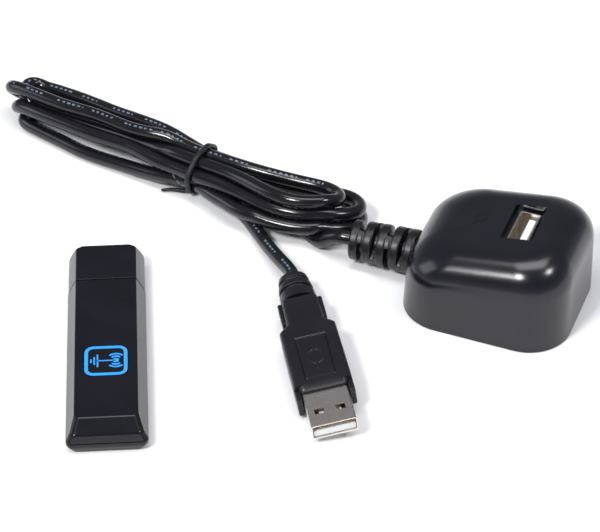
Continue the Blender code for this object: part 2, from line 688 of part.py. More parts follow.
def tie_ring(name, outer_size, inner_size, width, middle_z, finish, parent):
    """Band round the hank: a rounded rectangle with a rounded opening, across the hank's length."""
    outer = rounded_outline(*outer_size, 5.0, 4)
    inner = rounded_outline(*inner_size, 4.0, 4)
    count = len(outer)
    vertices = []
    for x in (-width / 2, width / 2):
        vertices += [(x, y, z) for y, z in outer]
        vertices += [(x, y, z) for y, z in inner]
    faces = []
    for i in range(count):
        j = (i + 1) % count
        a, b, c, d = 0, count, 2 * count, 3 * count
        faces += [(a + i, a + j, b + j, b + i), (c + j, c + i, d + i, d + j),
                  (a + j, a + i, c + i, c + j), (b + i, b + j, d + j, d + i)]
    return solid(name, vertices, faces, finish, parent, (0, 0, middle_z))


# ---------------------------------------------------------------- the lead's plug


def plug_point(x, y, z):
    """A point of the lead plug's frame in the world, in millimetres. Its +Y runs back from the mouth."""
    heading = Matrix.Rotation(PLUG_TURN + math.pi / 2, 4, "Z")
    turned = heading @ Matrix.Rotation(PLUG_ROLL, 4, "Y") @ Vector((x, y, z))
    return (turned.x + PLUG_PLACE[0], turned.y + PLUG_PLACE[1], turned.z + PLUG_AXIS_HEIGHT)


def lead_plug(finishes):
    """Overmould with its grip, ringed boot, and the USB plug in its front. The mouth looks along -Y."""
    relief_black, steel, white, gold = finishes
    base = frame("plug_frame", (*PLUG_PLACE, PLUG_AXIS_HEIGHT), PLUG_TURN + math.pi / 2, PLUG_ROLL)

    boot = []
    table = (
        (0.0, 3.3), (0.8, 4.0), (2.6, 4.2), (2.65, 3.5), (3.7, 3.5), (3.75, 4.6), (6.0, 4.8), (6.05, 3.7),
        (7.1, 3.7), (7.15, 4.9), (BOOT_LENGTH, 5.0),
    )
    for back, radius in table:
        ring = [(radius * math.cos(2 * math.pi * i / 20), 0.78 * radius * math.sin(2 * math.pi * i / 20))
                for i in range(20)]
        boot.append(along_y(ring, -back))
    smooth(loft("lead_plug_boot", boot, relief_black, base))

    start = -BOOT_LENGTH - GAP
    ridge = start - OVERMOULD_LENGTH
    neck, wide, high = OVERMOULD_NECK_WIDTH, OVERMOULD_WIDTH, OVERMOULD_HEIGHT
    sections = (
        (0.0, neck - 1.6, high - 1.2), (0.9, neck - 0.6, high - 0.2), (SHOULDER_START, neck, high),
        (SHOULDER_END, wide - 0.4, high), (OVERMOULD_LENGTH - 1.0, wide, high),
        (OVERMOULD_LENGTH, wide, high - 0.2),
    )
    rings = [along_y(rounded_outline(w, h, 1.6, 3), start - back) for back, w, h in sections]
    overmould = loft("lead_plug_overmould", rings, relief_black, base)
    smooth(overmould)
    collar = block("plug_collar", (wide - 2.4, 2 * COLLAR_OUT, SHELL_HEIGHT + 1.1), (0, ridge, 0),
                   relief_black, base)
    combine(overmould, collar, "UNION")
    cheek_inside = SHELL_WIDTH / 2 + FIT
    cheek_width = wide / 2 - cheek_inside
    for side in (-1, 1):
        cheek = block(f"plug_cheek_{side}", (cheek_width - 0.1, 2 * CHEEK_OUT, high - 2.4),
                      (side * (cheek_inside + cheek_width / 2), ridge, -0.6), relief_black, base, 0.5)
        combine(overmould, cheek, "UNION")
        wing = block(f"plug_wing_{side}", (1.8, WING_LENGTH, 3.2),
                     (side * (WING_WIDTH / 2 - 0.9), start - WING_LENGTH / 2, 0.3), relief_black, base, 0.5)
        combine(overmould, wing, "UNION")
    shoulder = ridge - COLLAR_OUT
    seat = block("plug_seat", (SHELL_WIDTH + 2 * FIT, 2 * (SHELL_IN + 0.3), SHELL_HEIGHT + 2 * FIT),
                 (0, shoulder, 0), relief_black, base)
    combine(overmould, seat, "DIFFERENCE")
    usb_plug("lead_", base, shoulder - SHELL_OUT, -1, 0.0, (steel, white, gold))


def main():
    """Build the whole set."""
    clear_scene()
    gloss = material("gloss black plastic", (0.012, 0.012, 0.015), 0.12)
    satin = material("satin black plastic", (0.018, 0.018, 0.022), 0.38)
    relief = material("matt black moulding", (0.014, 0.014, 0.016), 0.55)
    cord = material("black cord jacket", (0.012, 0.012, 0.014), 0.32)
    tie = material("black cord tie", (0.012, 0.012, 0.013), 0.6)
    pad = material("black pad rubber", (0.02, 0.02, 0.02), 0.8)
    steel = material("nickel-plated steel", (0.62, 0.6, 0.57), 0.28, 1.0)
    zinc = material("zinc-plated steel", (0.6, 0.6, 0.6), 0.35, 1.0)
    tin = material("tinned steel", (0.7, 0.7, 0.68), 0.3, 1.0)
    gold = material("gold-plated contact", (0.83, 0.62, 0.25), 0.25, 1.0)
    white = material("white insulator", (0.8, 0.8, 0.78), 0.45)
    board = material("green circuit board", (0.02, 0.14, 0.05), 0.4)
    chip = material("chip package", (0.02, 0.02, 0.022), 0.6)
    ceramic = material("ceramic part", (0.55, 0.42, 0.28), 0.5)
    blue = material("badge blue", (0.03, 0.3, 0.95), 0.35)
    wires = [
        ("wire_red", material("red wire", (0.6, 0.02, 0.02), 0.4)),
        ("wire_white", material("white wire", (0.75, 0.75, 0.73), 0.4)),
        ("wire_green", material("green wire", (0.02, 0.35, 0.06), 0.4)),
        ("wire_black", material("black wire", (0.02, 0.02, 0.02), 0.4)),
    ]
    stick((gloss, board, chip, steel, white, gold, blue, ceramic, tin))
    cradle((satin, pad, board, steel, white, gold, zinc, relief, wires))
    lead((cord, tie))
    lead_plug((relief, steel, white, gold))


main()
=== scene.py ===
"""Looks of a wireless USB stick with its cap, the desk cradle it plugs into, and the cradle's tied lead
and plug.

Lengths in the classes are millimetres, and become metres where a mesh is made.
"""
import logging
import math
from dataclasses import dataclass, field
from enum import Enum
from typing import Callable, Mapping, Optional, Sequence, Union

import bpy
import numpy as np
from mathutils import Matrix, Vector


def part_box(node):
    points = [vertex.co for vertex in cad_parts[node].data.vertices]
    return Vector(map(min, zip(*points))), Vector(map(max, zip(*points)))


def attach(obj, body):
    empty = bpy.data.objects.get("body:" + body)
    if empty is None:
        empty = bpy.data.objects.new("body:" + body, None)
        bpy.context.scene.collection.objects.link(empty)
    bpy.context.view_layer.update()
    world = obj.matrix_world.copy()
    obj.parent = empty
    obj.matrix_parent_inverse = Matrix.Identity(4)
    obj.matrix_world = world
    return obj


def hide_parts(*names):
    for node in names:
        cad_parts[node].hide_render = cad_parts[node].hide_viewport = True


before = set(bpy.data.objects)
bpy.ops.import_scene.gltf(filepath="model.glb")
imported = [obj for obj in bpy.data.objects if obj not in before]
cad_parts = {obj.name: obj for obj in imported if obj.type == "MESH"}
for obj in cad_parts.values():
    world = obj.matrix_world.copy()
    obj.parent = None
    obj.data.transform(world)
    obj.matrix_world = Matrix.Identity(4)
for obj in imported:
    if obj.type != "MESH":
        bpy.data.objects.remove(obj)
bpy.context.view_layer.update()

MM = 0.001
GAP = 0.3
LOG = logging.getLogger("wireless_stick")
Points = np.ndarray
Colour = tuple[float, float, float]
Mark = tuple[float, float, float]


# ---------------------------------------------------------------- shader maths


class Value:
    """A node's output socket that can stand in a Python expression."""

    def __init__(self, graph: "Graph", socket: bpy.types.NodeSocket) -> None:
        """Keep the graph that the socket belongs to."""
        self.graph = graph
        self.socket = socket

    def maths(self, operation: str, other: "Number", swapped: bool = False) -> "Value":
        """Add one Math node on this value and another.

        Args:
            operation: the Math node's operation.
            other: the second value, or the first one when swapped.
            swapped: whether this value comes second.

        Returns:
            The node's output.
        """
        first, second = (other, self) if swapped else (self, other)
        return self.graph.node("ShaderNodeMath", {"operation": operation}, {0: first, 1: second})

    def __add__(self, other: "Number") -> "Value":
        """Sum."""
        return self.maths("ADD", other)

    def __radd__(self, other: "Number") -> "Value":
        """Sum with a plain number first."""
        return self.maths("ADD", other, True)

    def __sub__(self, other: "Number") -> "Value":
        """Difference."""
        return self.maths("SUBTRACT", other)

    def __rsub__(self, other: "Number") -> "Value":
        """Difference with a plain number first."""
        return self.maths("SUBTRACT", other, True)

    def __mul__(self, other: "Number") -> "Value":
        """Product."""
        return self.maths("MULTIPLY", other)

    def __rmul__(self, other: "Number") -> "Value":
        """Product with a plain number first."""
        return self.maths("MULTIPLY", other, True)

    def __truediv__(self, other: "Number") -> "Value":
        """Quotient."""
        return self.maths("DIVIDE", other)

    def __gt__(self, other: "Number") -> "Value":
        """One where this value is the greater, else zero."""
        return self.maths("GREATER_THAN", other)

    def __lt__(self, other: "Number") -> "Value":
        """One where this value is the smaller, else zero."""
        return self.maths("LESS_THAN", other)


Number = Union[Value, float]


class Graph:
    """A material's node tree, with the few things that every finish needs."""

    def __init__(self, tree: bpy.types.NodeTree) -> None:
        """Start on an existing tree."""
        self.tree = tree

    def node(self, kind: str, settings: Optional[Mapping[str, object]] = None,
             inputs: Optional[Mapping[Union[int, str], object]] = None, output: Union[int, str] = 0) -> Value:
        """Make any node.

        Args:
            kind: the node's type.
            settings: its own settings, set first; "stops" is a colour ramp's list of (place, grey).
            inputs: values or links of its sockets, by number or name.
            output: which output to return.

        Returns:
            That output.
        """
        made = self.tree.nodes.new(kind)
        for name, setting in (settings or {}).items():
            if name == "stops":
                elements = made.color_ramp.elements
                for element, (place, grey) in zip((elements[0], elements[1]), setting):
                    element.position = place
                    element.color = (grey, grey, grey, 1.0)
            else:
                setattr(made, name, setting)
        for key, given in (inputs or {}).items():
            if isinstance(given, Value):
                self.tree.links.new(given.socket, made.inputs[key])
            else:
                made.inputs[key].default_value = given
        return Value(self, made.outputs[output])

    def places(self, scale: tuple[float, float, float] = (1.0, 1.0, 1.0), turn: float = 0.0) -> Value:
        """Object coordinates in millimetres, stretched by scale and turned about Z.

        Args:
            scale: stretch along each axis.
            turn: angle about Z in radians.

        Returns:
            The coordinates.
        """
        own = self.node("ShaderNodeTexCoord", output="Object")
        stretch = tuple(s / MM for s in scale)
        turned = self.node("ShaderNodeMapping", {}, {"Vector": own, "Rotation": (0.0, 0.0, turn)})
        return self.node("ShaderNodeMapping", {}, {"Vector": turned, "Scale": stretch})

    def noise(self, places: Value, per_mm: float, detail: float = 2.0, roughness: float = 0.5) -> Value:
        """Noise of about that many lumps to the millimetre, from 0 to 1."""
        return self.node("ShaderNodeTexNoise", {},
                         {"Vector": places, "Scale": per_mm, "Detail": detail, "Roughness": roughness})

    def ramp(self, value: Value, low: float, high: float) -> Value:
        """Smooth step from 0 at low to 1 at high."""
        return self.node("ShaderNodeMapRange", {"interpolation_type": "SMOOTHSTEP"},
                         {"Value": value, "From Min": low, "From Max": high})

    def mix(self, share: Number, one: Union[Value, Colour], two: Union[Value, Colour]) -> Value:
        """Blend two colours.

        Args:
            share: how much of the second, from 0 to 1.
            one: the first colour.
            two: the second colour.

        Returns:
            The blend.
        """
        inputs: dict[Union[int, str], object] = {0: share}
        for key, colour in ((6, one), (7, two)):
            inputs[key] = colour if isinstance(colour, Value) else (*colour, 1.0)
        return self.node("ShaderNodeMix", {"data_type": "RGBA"}, inputs, 2)

    def bump(self, height: Value, depth: float, below: Optional[Value] = None) -> Value:
        """Bump of a height from 0 to 1 whose full step is depth millimetres, on top of another bump.

        Args:
            height: the height map.
            depth: its full step in millimetres.
            below: a bump that lies under it.

        Returns:
            The normal.
        """
        inputs: dict[Union[int, str], object] = {"Height": height, "Distance": depth * MM, "Strength": 1.0}
        if below is not None:
            inputs["Normal"] = below
        return self.node("ShaderNodeBump", {}, inputs)


def tinted(colour: Colour, share: float) -> Colour:
    """A colour made lighter or darker by a share."""
    return tuple(min(c * share, 1.0) for c in colour)


# ---------------------------------------------------------------- finishes


@dataclass(frozen=True)
class Finish:
    """A surface: its material's name and the name of the slot that it belongs to."""

    name: str
    slot: str

    def material(self) -> bpy.types.Material:
        """The material, made once and then reused.

        Returns:
            The material.
        """
        own_name = self.name + "_finish"
        found = bpy.data.materials.get(own_name)
        if found is not None:
            return found
        made = bpy.data.materials.new(own_name)
        made.use_nodes = True
        shader = made.node_tree.nodes["Principled BSDF"]
        self.paint(Graph(made.node_tree), shader)
        return made

    def paint(self, graph: Graph, shader: bpy.types.Node) -> None:
        """Wire the surface's maps into the shader."""
        raise NotImplementedError

    @staticmethod
    def connect(graph: Graph, shader: bpy.types.Node, **maps: Value) -> None:
        """Link maps to the shader's sockets, whose names are written with underscores."""
        for name, value in maps.items():
            graph.tree.links.new(value.socket, shader.inputs[name.replace("_", " ")])


@dataclass(frozen=True)
class MouldedPlastic(Finish):
    """Injection-moulded plastic: fine mould grain, faint flow marks, handling haze and a few hairline
    scuffs.
    """

    colour: Colour = (0.016, 0.016, 0.02)
    roughness: float = 0.35
    grain: float = 4.0
    grain_depth: float = 0.012
    haze: float = 0.08
    scuffs: float = 0.06
    gleam: float = 0.35

    def paint(self, graph: Graph, shader: bpy.types.Node) -> None:
        """Flow marks tint the colour, haze and scuffs vary the roughness, and grain makes the bump.

        Args:
            graph: the material's nodes.
            shader: its surface shader.
        """
        places = graph.places()
        flow = graph.noise(graph.places((0.05, 0.16, 0.05), 0.4), 1.0, 3.0)
        cloud = graph.noise(places, 0.11, 4.0, 0.6)
        grain = graph.noise(places, self.grain, 2.0, 0.6)
        hairs = graph.noise(graph.places((0.35, 14.0, 0.35), 0.7), 1.0, 2.0)
        cross = graph.noise(graph.places((12.0, 0.3, 0.3), 0.3), 1.0, 2.0)
        scuff = graph.ramp(hairs, 0.66, 0.74) + graph.ramp(cross, 0.67, 0.75)
        worn = scuff * graph.ramp(cloud, 0.45, 0.7)
        shade = graph.mix(graph.ramp(flow, 0.3, 0.7), tinted(self.colour, 0.86), tinted(self.colour, 1.16))
        colour = graph.mix(worn * 0.25, shade, tinted(self.colour, 2.2))
        rough = self.roughness + self.haze * (cloud - 0.5) + self.scuffs * worn
        shader.inputs["Specular IOR Level"].default_value = self.gleam
        relief = graph.bump(grain, self.grain_depth)
        self.connect(graph, shader, Base_Color=colour, Roughness=rough, Normal=relief)


@dataclass(frozen=True)
class CordJacket(Finish):
    """Extruded cord jacket: drawn-out streaks along it, a soft haze, and a row of pale printed dashes.

    It reads the cord's own UV map: U is the way along in centimetres and V the way round, with the print
    at 0.5.
    """

    colour: Colour = (0.006, 0.006, 0.008)
    print_colour: Colour = (0.20, 0.27, 0.38)
    roughness: float = 0.17

    def paint(self, graph: Graph, shader: bpy.types.Node) -> None:
        """Dashes sit in cells of the way along, and each cell's own random number says how long its dash
        is.

        Args:
            graph: the material's nodes.
            shader: its surface shader.
        """
        own = graph.node("ShaderNodeAttribute", {"attribute_name": "along"}, output="Vector")
        split = graph.tree.nodes.new("ShaderNodeSeparateXYZ")
        graph.tree.links.new(own.socket, split.inputs[0])
        along = Value(graph, split.outputs[0])
        round_it = Value(graph, split.outputs[1])
        cells = along * 6.0
        cell = graph.node("ShaderNodeMath", {"operation": "FLOOR"}, {0: cells})
        inside = cells - cell
        draw = graph.node("ShaderNodeTexWhiteNoise", {"noise_dimensions": "1D"}, {"W": cell})
        words = graph.node("ShaderNodeTexWhiteNoise", {"noise_dimensions": "1D"},
                           {"W": graph.node("ShaderNodeMath", {"operation": "FLOOR"}, {0: cells / 7.0})})
        place_in_word = graph.node("ShaderNodeMath", {"operation": "FRACT"}, {0: cells / 7.0})
        dash = (inside > 0.18) * (inside < 0.56 + 0.3 * draw) * (place_in_word < 0.5 + 0.34 * words)
        from_line = graph.node("ShaderNodeMath", {"operation": "ABSOLUTE"}, {0: round_it - 0.5})
        edge = 1 - graph.ramp(from_line, 0.017, 0.026)
        patchy = graph.ramp(graph.noise(graph.places(), 3.0, 2.0), 0.34, 0.52)
        ink = dash * edge * patchy
        streaks = graph.node("ShaderNodeTexNoise", {}, {
            "Vector": graph.node("ShaderNodeMapping", {}, {"Vector": own, "Scale": (1.2, 22.0, 1.0)}),
            "Scale": 1.0, "Detail": 3.0})
        cloud = graph.noise(graph.places(), 0.35, 3.0)
        jacket = graph.mix(streaks, tinted(self.colour, 0.8), tinted(self.colour, 1.3))
        colour = graph.mix(ink * 0.85, jacket, self.print_colour)
        rough = self.roughness + 0.08 * (cloud - 0.5) + 0.05 * (streaks - 0.5) + 0.25 * ink
        fine = graph.bump(graph.noise(graph.places(), 6.0, 2.0), 0.006)
        self.connect(graph, shader, Base_Color=colour, Roughness=rough,
                     Normal=graph.bump(streaks, 0.005, fine))


@dataclass(frozen=True)
class PlatedMetal(Finish):
    """Rolled and plated sheet: fine lines along the rolling direction, soft stains and darker worn spots."""

    colour: Colour = (0.62, 0.59, 0.55)
    stain: Colour = (0.40, 0.34, 0.28)
    roughness: float = 0.24
    turn: float = 0.0
    staining: float = 0.5

    def paint(self, graph: Graph, shader: bpy.types.Node) -> None:
        """Lines drawn out along the turned Y axis vary roughness and bump, clouds vary colour.

        Args:
            graph: the material's nodes.
            shader: its surface shader.
        """
        lines = graph.noise(graph.places((9.0, 0.25, 3.0), self.turn), 1.0, 3.0, 0.6)
        cloud = graph.noise(graph.places(), 0.45, 4.0, 0.6)
        spots = graph.ramp(graph.noise(graph.places(), 1.6, 3.0, 0.7), 0.6, 0.72)
        base = graph.mix(graph.ramp(cloud, 0.35, 0.75) * self.staining, self.colour, self.stain)
        colour = graph.mix(spots * 0.35, base, tinted(self.stain, 0.6))
        rough = self.roughness + 0.14 * (lines - 0.5) + 0.12 * spots + 0.08 * (cloud - 0.5)
        shader.inputs["Metallic"].default_value = 1.0
        self.connect(graph, shader, Base_Color=colour, Roughness=rough, Normal=graph.bump(lines, 0.008))


@dataclass(frozen=True)
class InsulatorPlastic(Finish):
    """Glass-filled white plastic: short fibres just under the skin, and a warmer tone where it is thick."""

    colour: Colour = (0.78, 0.79, 0.78)
    roughness: float = 0.42

    def paint(self, graph: Graph, shader: bpy.types.Node) -> None:
        """Fibres are stretched noise in two directions.

        Args:
            graph: the material's nodes.
            shader: its surface shader.
        """
        first = graph.noise(graph.places((1.2, 9.0, 1.2), 0.5), 1.0, 2.0)
        second = graph.noise(graph.places((8.0, 1.1, 8.0), 0.2), 1.0, 2.0)
        fibres = graph.ramp(first, 0.58, 0.7) + graph.ramp(second, 0.6, 0.72)
        cloud = graph.noise(graph.places(), 0.3, 3.0)
        base = graph.mix(cloud, tinted(self.colour, 0.94), self.colour)
        colour = graph.mix(fibres * 0.2, base, (0.66, 0.62, 0.54))
        rough = self.roughness + 0.1 * fibres + 0.1 * (cloud - 0.5)
        self.connect(graph, shader, Base_Color=colour, Roughness=rough, Normal=graph.bump(first, 0.01))


@dataclass(frozen=True)
class BoardLaminate(Finish):
    """Circuit board: solder resist over glass weave, with copper tracks and pads showing lighter."""

    resist: Colour = (0.012, 0.10, 0.045)
    copper: Colour = (0.03, 0.22, 0.09)

    def paint(self, graph: Graph, shader: bpy.types.Node) -> None:
        """Tracks follow the edges of square cells, pads are spots in some cells, and the weave is two
        waves.

        Args:
            graph: the material's nodes.
            shader: its surface shader.
        """
        cells = graph.node("ShaderNodeTexVoronoi", {"distance": "CHEBYCHEV", "feature": "F1"},
                           {"Vector": graph.places(), "Scale": 0.55})
        fine = graph.node("ShaderNodeTexVoronoi", {"distance": "MANHATTAN", "feature": "F2"},
                          {"Vector": graph.places(), "Scale": 0.9})
        tracks = graph.ramp(cells, 0.42, 0.46) * (1 - graph.ramp(cells, 0.52, 0.56))
        pads = 1 - graph.ramp(fine, 0.4, 0.46)
        warp, weft = (graph.node("ShaderNodeTexWave", {"bands_direction": direction},
                                 {"Vector": graph.places(), "Scale": 0.8}) for direction in "XY")
        metal = tracks * 0.8 + pads
        colour = graph.mix(metal, self.resist, self.copper)
        rough = 0.32 + 0.12 * (graph.noise(graph.places(), 0.5, 3.0) - 0.5)
        weave = graph.bump(warp + weft, 0.004)
        self.connect(graph, shader, Base_Color=colour, Roughness=rough, Normal=graph.bump(metal, 0.03, weave))


@dataclass(frozen=True)
class SpeckledPart(Finish):
    """Moulded or fired small part with a speckle of filler grains."""

    colour: Colour = (0.02, 0.02, 0.022)
    speck: Colour = (0.08, 0.08, 0.085)
    roughness: float = 0.6
    per_mm: float = 5.0
    depth: float = 0.02

    def paint(self, graph: Graph, shader: bpy.types.Node) -> None:
        """Grains are cells' middles, each mixed towards the speck colour.

        Args:
            graph: the material's nodes.
            shader: its surface shader.
        """
        grains = graph.node("ShaderNodeTexVoronoi", {"feature": "F1"},
                            {"Vector": graph.places(), "Scale": self.per_mm})
        cloud = graph.noise(graph.places(), 0.4, 4.0)
        share = (1 - graph.ramp(grains, 0.12, 0.34)) * graph.ramp(cloud, 0.35, 0.65)
        ground = graph.mix(cloud, tinted(self.colour, 0.85), tinted(self.colour, 1.15))
        colour = graph.mix(share, ground, self.speck)
        rough = self.roughness + 0.14 * (cloud - 0.5)
        self.connect(graph, shader, Base_Color=colour, Roughness=rough, Normal=graph.bump(grains, self.depth))


@dataclass(frozen=True)
class BadgeFace(Finish):
    """Printed badge: lacquer over an ink that fades a little from corner to corner, with a fine screen of
    dots.
    """

    colour: Colour = (0.03, 0.32, 1.0)
    roughness: float = 0.3

    def paint(self, graph: Graph, shader: bpy.types.Node) -> None:
        """The screen is a grid of cell middles, and the fade is slow noise.

        Args:
            graph: the material's nodes.
            shader: its surface shader.
        """
        screen = graph.node("ShaderNodeTexVoronoi", {"feature": "F1"},
                            {"Vector": graph.places(turn=0.4), "Scale": 6.0, "Randomness": 0.1})
        fade = graph.noise(graph.places(), 0.12, 2.0)
        base = graph.mix(fade, tinted(self.colour, 0.88), tinted(self.colour, 1.08))
        colour = graph.mix(graph.ramp(screen, 0.2, 0.5) * 0.25, base, tinted(self.colour, 1.3))
        rough = self.roughness + 0.1 * (fade - 0.5)
        self.connect(graph, shader, Base_Color=colour, Roughness=rough, Normal=graph.bump(screen, 0.004))


@dataclass(frozen=True)
class StudioPaper(Finish):
    """Pale seamless paper with a faint tooth."""

    colour: Colour = (0.9, 0.9, 0.91)

    def paint(self, graph: Graph, shader: bpy.types.Node) -> None:
        """Slow noise tints it, fine noise gives the tooth.

        Args:
            graph: the material's nodes.
            shader: its surface shader.
        """
        cloud = graph.noise(graph.places(), 0.01, 3.0)
        colour = graph.mix(cloud, tinted(self.colour, 0.985), self.colour)
        shader.inputs["Roughness"].default_value = 0.9
        shader.inputs["Specular IOR Level"].default_value = 0.1
        tooth = graph.bump(graph.noise(graph.places(), 1.0), 0.02)
        self.connect(graph, shader, Base_Color=colour, Normal=tooth)


COOL_BLACK = (0.006, 0.006, 0.010)
SOFT_BLACK = (0.006, 0.006, 0.008)
GLOSS_BLACK = MouldedPlastic("gloss_black_plastic", "gloss_black", COOL_BLACK, 0.17, 2.2, 0.004, 0.05, 0.1)
SATIN_BLACK = MouldedPlastic("satin_black_plastic", "satin_black", COOL_BLACK, 0.2, 5.0, 0.008, 0.06,
                             gleam=0.55)
MATT_BLACK = MouldedPlastic("matt_black_moulding", "matt_black_moulding", SOFT_BLACK, 0.36, 4.0, 0.02, 0.1,
                            0.08, gleam=0.45)
TIE_BLACK = MouldedPlastic("tie_black_rubber", "tie_black", (0.010, 0.010, 0.011), 0.5, 6.0, 0.03, 0.1, 0.1)
PAD_RUBBER = SpeckledPart("pad_rubber", "pad_rubber", (0.018,) * 3, (0.05,) * 3, 0.8, 3.0, 0.04)
CORD = CordJacket("cord_jacket", "cord_jacket")
NICKEL = PlatedMetal("nickel_steel", "nickel_steel", (0.82, 0.77, 0.72), (0.62, 0.54, 0.46), 0.26, 0.12)
ZINC = PlatedMetal("zinc_steel", "zinc_steel", (0.6, 0.61, 0.62), (0.42, 0.42, 0.38), 0.34)
TIN = PlatedMetal("tinned_steel", "tinned_steel", (0.7, 0.7, 0.68), (0.5, 0.5, 0.47), 0.3)
GOLD = PlatedMetal("gold_contact", "gold_contact", (0.86, 0.6, 0.22), (0.6, 0.36, 0.12), 0.22)
INSULATOR = InsulatorPlastic("white_insulator", "white_insulator")
BOARD = BoardLaminate("circuit_board", "circuit_board")
CHIP = SpeckledPart("chip_black", "chip_black")
CERAMIC = SpeckledPart("ceramic_part", "ceramic_part", (0.5, 0.38, 0.24), (0.68, 0.58, 0.44), 0.45, 6.0, 0.01)
BADGE_BLUE = BadgeFace("badge_blue", "badge_blue")
BADGE_LENS = MouldedPlastic("badge_lens_black", "badge_blue", SOFT_BLACK, 0.14, 2.0, 0.002, 0.04, 0.05)
PAPER = StudioPaper("studio_paper", "satin_black")
WIRES = {
    "red": MouldedPlastic("wire_red", "wire_red", (0.5, 0.02, 0.02), 0.4),
    "white": MouldedPlastic("wire_white", "wire_white", (0.7, 0.7, 0.68), 0.4),
    "green": MouldedPlastic("wire_green", "wire_green", (0.02, 0.3, 0.06), 0.4),
    "black": MouldedPlastic("wire_black", "wire_black", (0.02, 0.02, 0.02), 0.4),
}


# ---------------------------------------------------------------- surfaces


class Body(Enum):
    """The bodies that pieces ride on."""

    CRADLE = "cradle_set"
    ADAPTER = "adapter"
    CAP = "cap"


def unit(vectors: Points) -> Points:
    """Vectors of length one."""
    return vectors / np.maximum(np.linalg.norm(vectors, axis=-1, keepdims=True), 1e-12)


def smooth_step(values: Points, low: float, high: float) -> Points:
    """Zero below low, one above high, and 3t^2 - 2t^3 between them."""
    t = np.clip((values - low) / (high - low), 0.0, 1.0)
    return t * t * (3 - 2 * t)


def rounded(corners: Points, radius: Union[float, Sequence[float]], steps: int, closed: bool) -> Points:
    """Round a line's corners, in any number of dimensions.

    Each corner P between its neighbours A and B becomes the curve (1-t)^2 P1 + 2t(1-t) P + t^2 P2,
    where P1 and P2 lie a radius from P on the way to A and to B.

    Args:
        corners: the line's points, one a row.
        radius: how far from each corner its curve starts, one for all or one each.
        steps: segments in each curve.
        closed: whether the last point joins the first.

    Returns:
        The rounded line's points.
    """
    corners = np.asarray(corners, float)
    reach = np.broadcast_to(np.asarray(radius, float), (len(corners),))[:, None]
    before, after = np.roll(corners, 1, axis=0), np.roll(corners, -1, axis=0)
    start = corners + unit(before - corners) * np.minimum(reach, 0.49 * np.linalg.norm(
        before - corners, axis=1, keepdims=True))
    end = corners + unit(after - corners) * np.minimum(reach, 0.49 * np.linalg.norm(
        after - corners, axis=1, keepdims=True))
    t = np.linspace(0.0, 1.0, steps + 1)[None, :, None]
    curves = (1 - t) ** 2 * start[:, None] + 2 * t * (1 - t) * corners[:, None] + t * t * end[:, None]
    if closed:
        return curves.reshape(-1, corners.shape[1])
    middle = curves[1:-1].reshape(-1, corners.shape[1])
    return np.vstack([corners[:1], middle, corners[-1:]])


def rounded_box(width: float, depth: float, radius: float, steps: int = 6) -> Points:
    """Rectangle about the origin with quarter circles of that radius at its corners, anticlockwise.

    Args:
        width: its size along X.
        depth: its size along Y.
        radius: the corners' radius.
        steps: segments in each corner.

    Returns:
        The outline's points.
    """
    turns = np.radians(90.0 * np.arange(4)[:, None] + np.linspace(0.0, 90.0, steps + 1)[None, :])
    signs = np.array([[1, 1], [-1, 1], [-1, -1], [1, -1]], float)[:, None, :]
    middles = signs * (np.array([width, depth]) / 2 - radius)
    arcs = radius * np.stack([np.cos(turns), np.sin(turns)], axis=-1)
    return (middles + arcs).reshape(-1, 2)


def make_mesh(name: str, points: Points, faces: Sequence[Sequence[int]]) -> bpy.types.Mesh:
    """Mesh from points in millimetres. A closed shell whose signed volume is negative is turned outwards.

    Args:
        name: the mesh's name.
        points: its points, one a row.
        faces: its faces, as numbers of points.

    Returns:
        The mesh.
    """
    mesh = bpy.data.meshes.new(name)
    mesh.from_pydata((np.asarray(points) * MM).tolist(), [], faces)
    mesh.update()
    mesh.calc_loop_triangles()
    corners = np.empty(len(mesh.loop_triangles) * 3, int)
    mesh.loop_triangles.foreach_get("vertices", corners)
    a, b, c = np.moveaxis(np.asarray(points)[corners].reshape(-1, 3, 3), 1, 0)
    if np.einsum("ij,ij->i", a, np.cross(b, c)).sum() < 0:
        mesh.flip_normals()
    return mesh


def grid_faces(rows: int, columns: int, round_rows: bool, round_columns: bool) -> Points:
    """Quads of a grid of points, stored row by row, that may close on itself either way.

    Args:
        rows: how many rows of points.
        columns: how many points in a row.
        round_rows: whether the last row joins the first.
        round_columns: whether each row is a loop.

    Returns:
        The faces, four numbers a row.
    """
    i = np.arange(rows if round_rows else rows - 1)[:, None]
    j = np.arange(columns if round_columns else columns - 1)[None, :]
    i2, j2 = (i + 1) % rows, (j + 1) % columns
    quads = np.stack([i * columns + j, i * columns + j2, i2 * columns + j2, i2 * columns + j], axis=-1)
    return quads.reshape(-1, 4)


def loft(name: str, rings: Points, closed: bool = False) -> bpy.types.Mesh:
    """Skin over a grid of rings, with a flat cap on the first and the last unless the rings close in a
    loop.

    Args:
        name: the mesh's name.
        rings: points shaped (rings, points, 3).
        closed: whether the last ring joins the first.

    Returns:
        The mesh.
    """
    rows, columns = rings.shape[:2]
    faces = grid_faces(rows, columns, closed, True).tolist()
    if not closed:
        faces += [list(range(columns - 1, -1, -1)), list(range((rows - 1) * columns, rows * columns))]
    return make_mesh(name, rings.reshape(-1, 3), faces)


def at_heights(outlines: Points, heights: Points) -> Points:
    """Rings from outlines in X and Y, shaped (rows, points, 2), each at its own height."""
    z = np.broadcast_to(np.asarray(heights, float)[:, None, None], outlines.shape[:2] + (1,))
    return np.concatenate([outlines, z], axis=2)


def thing(name: str, mesh: bpy.types.Mesh) -> bpy.types.Object:
    """Object at the origin for a mesh.

    Args:
        name: the object's name.
        mesh: its mesh.

    Returns:
        The object, linked into the scene.
    """
    made = bpy.data.objects.new(name, mesh)
    bpy.context.scene.collection.objects.link(made)
    return made


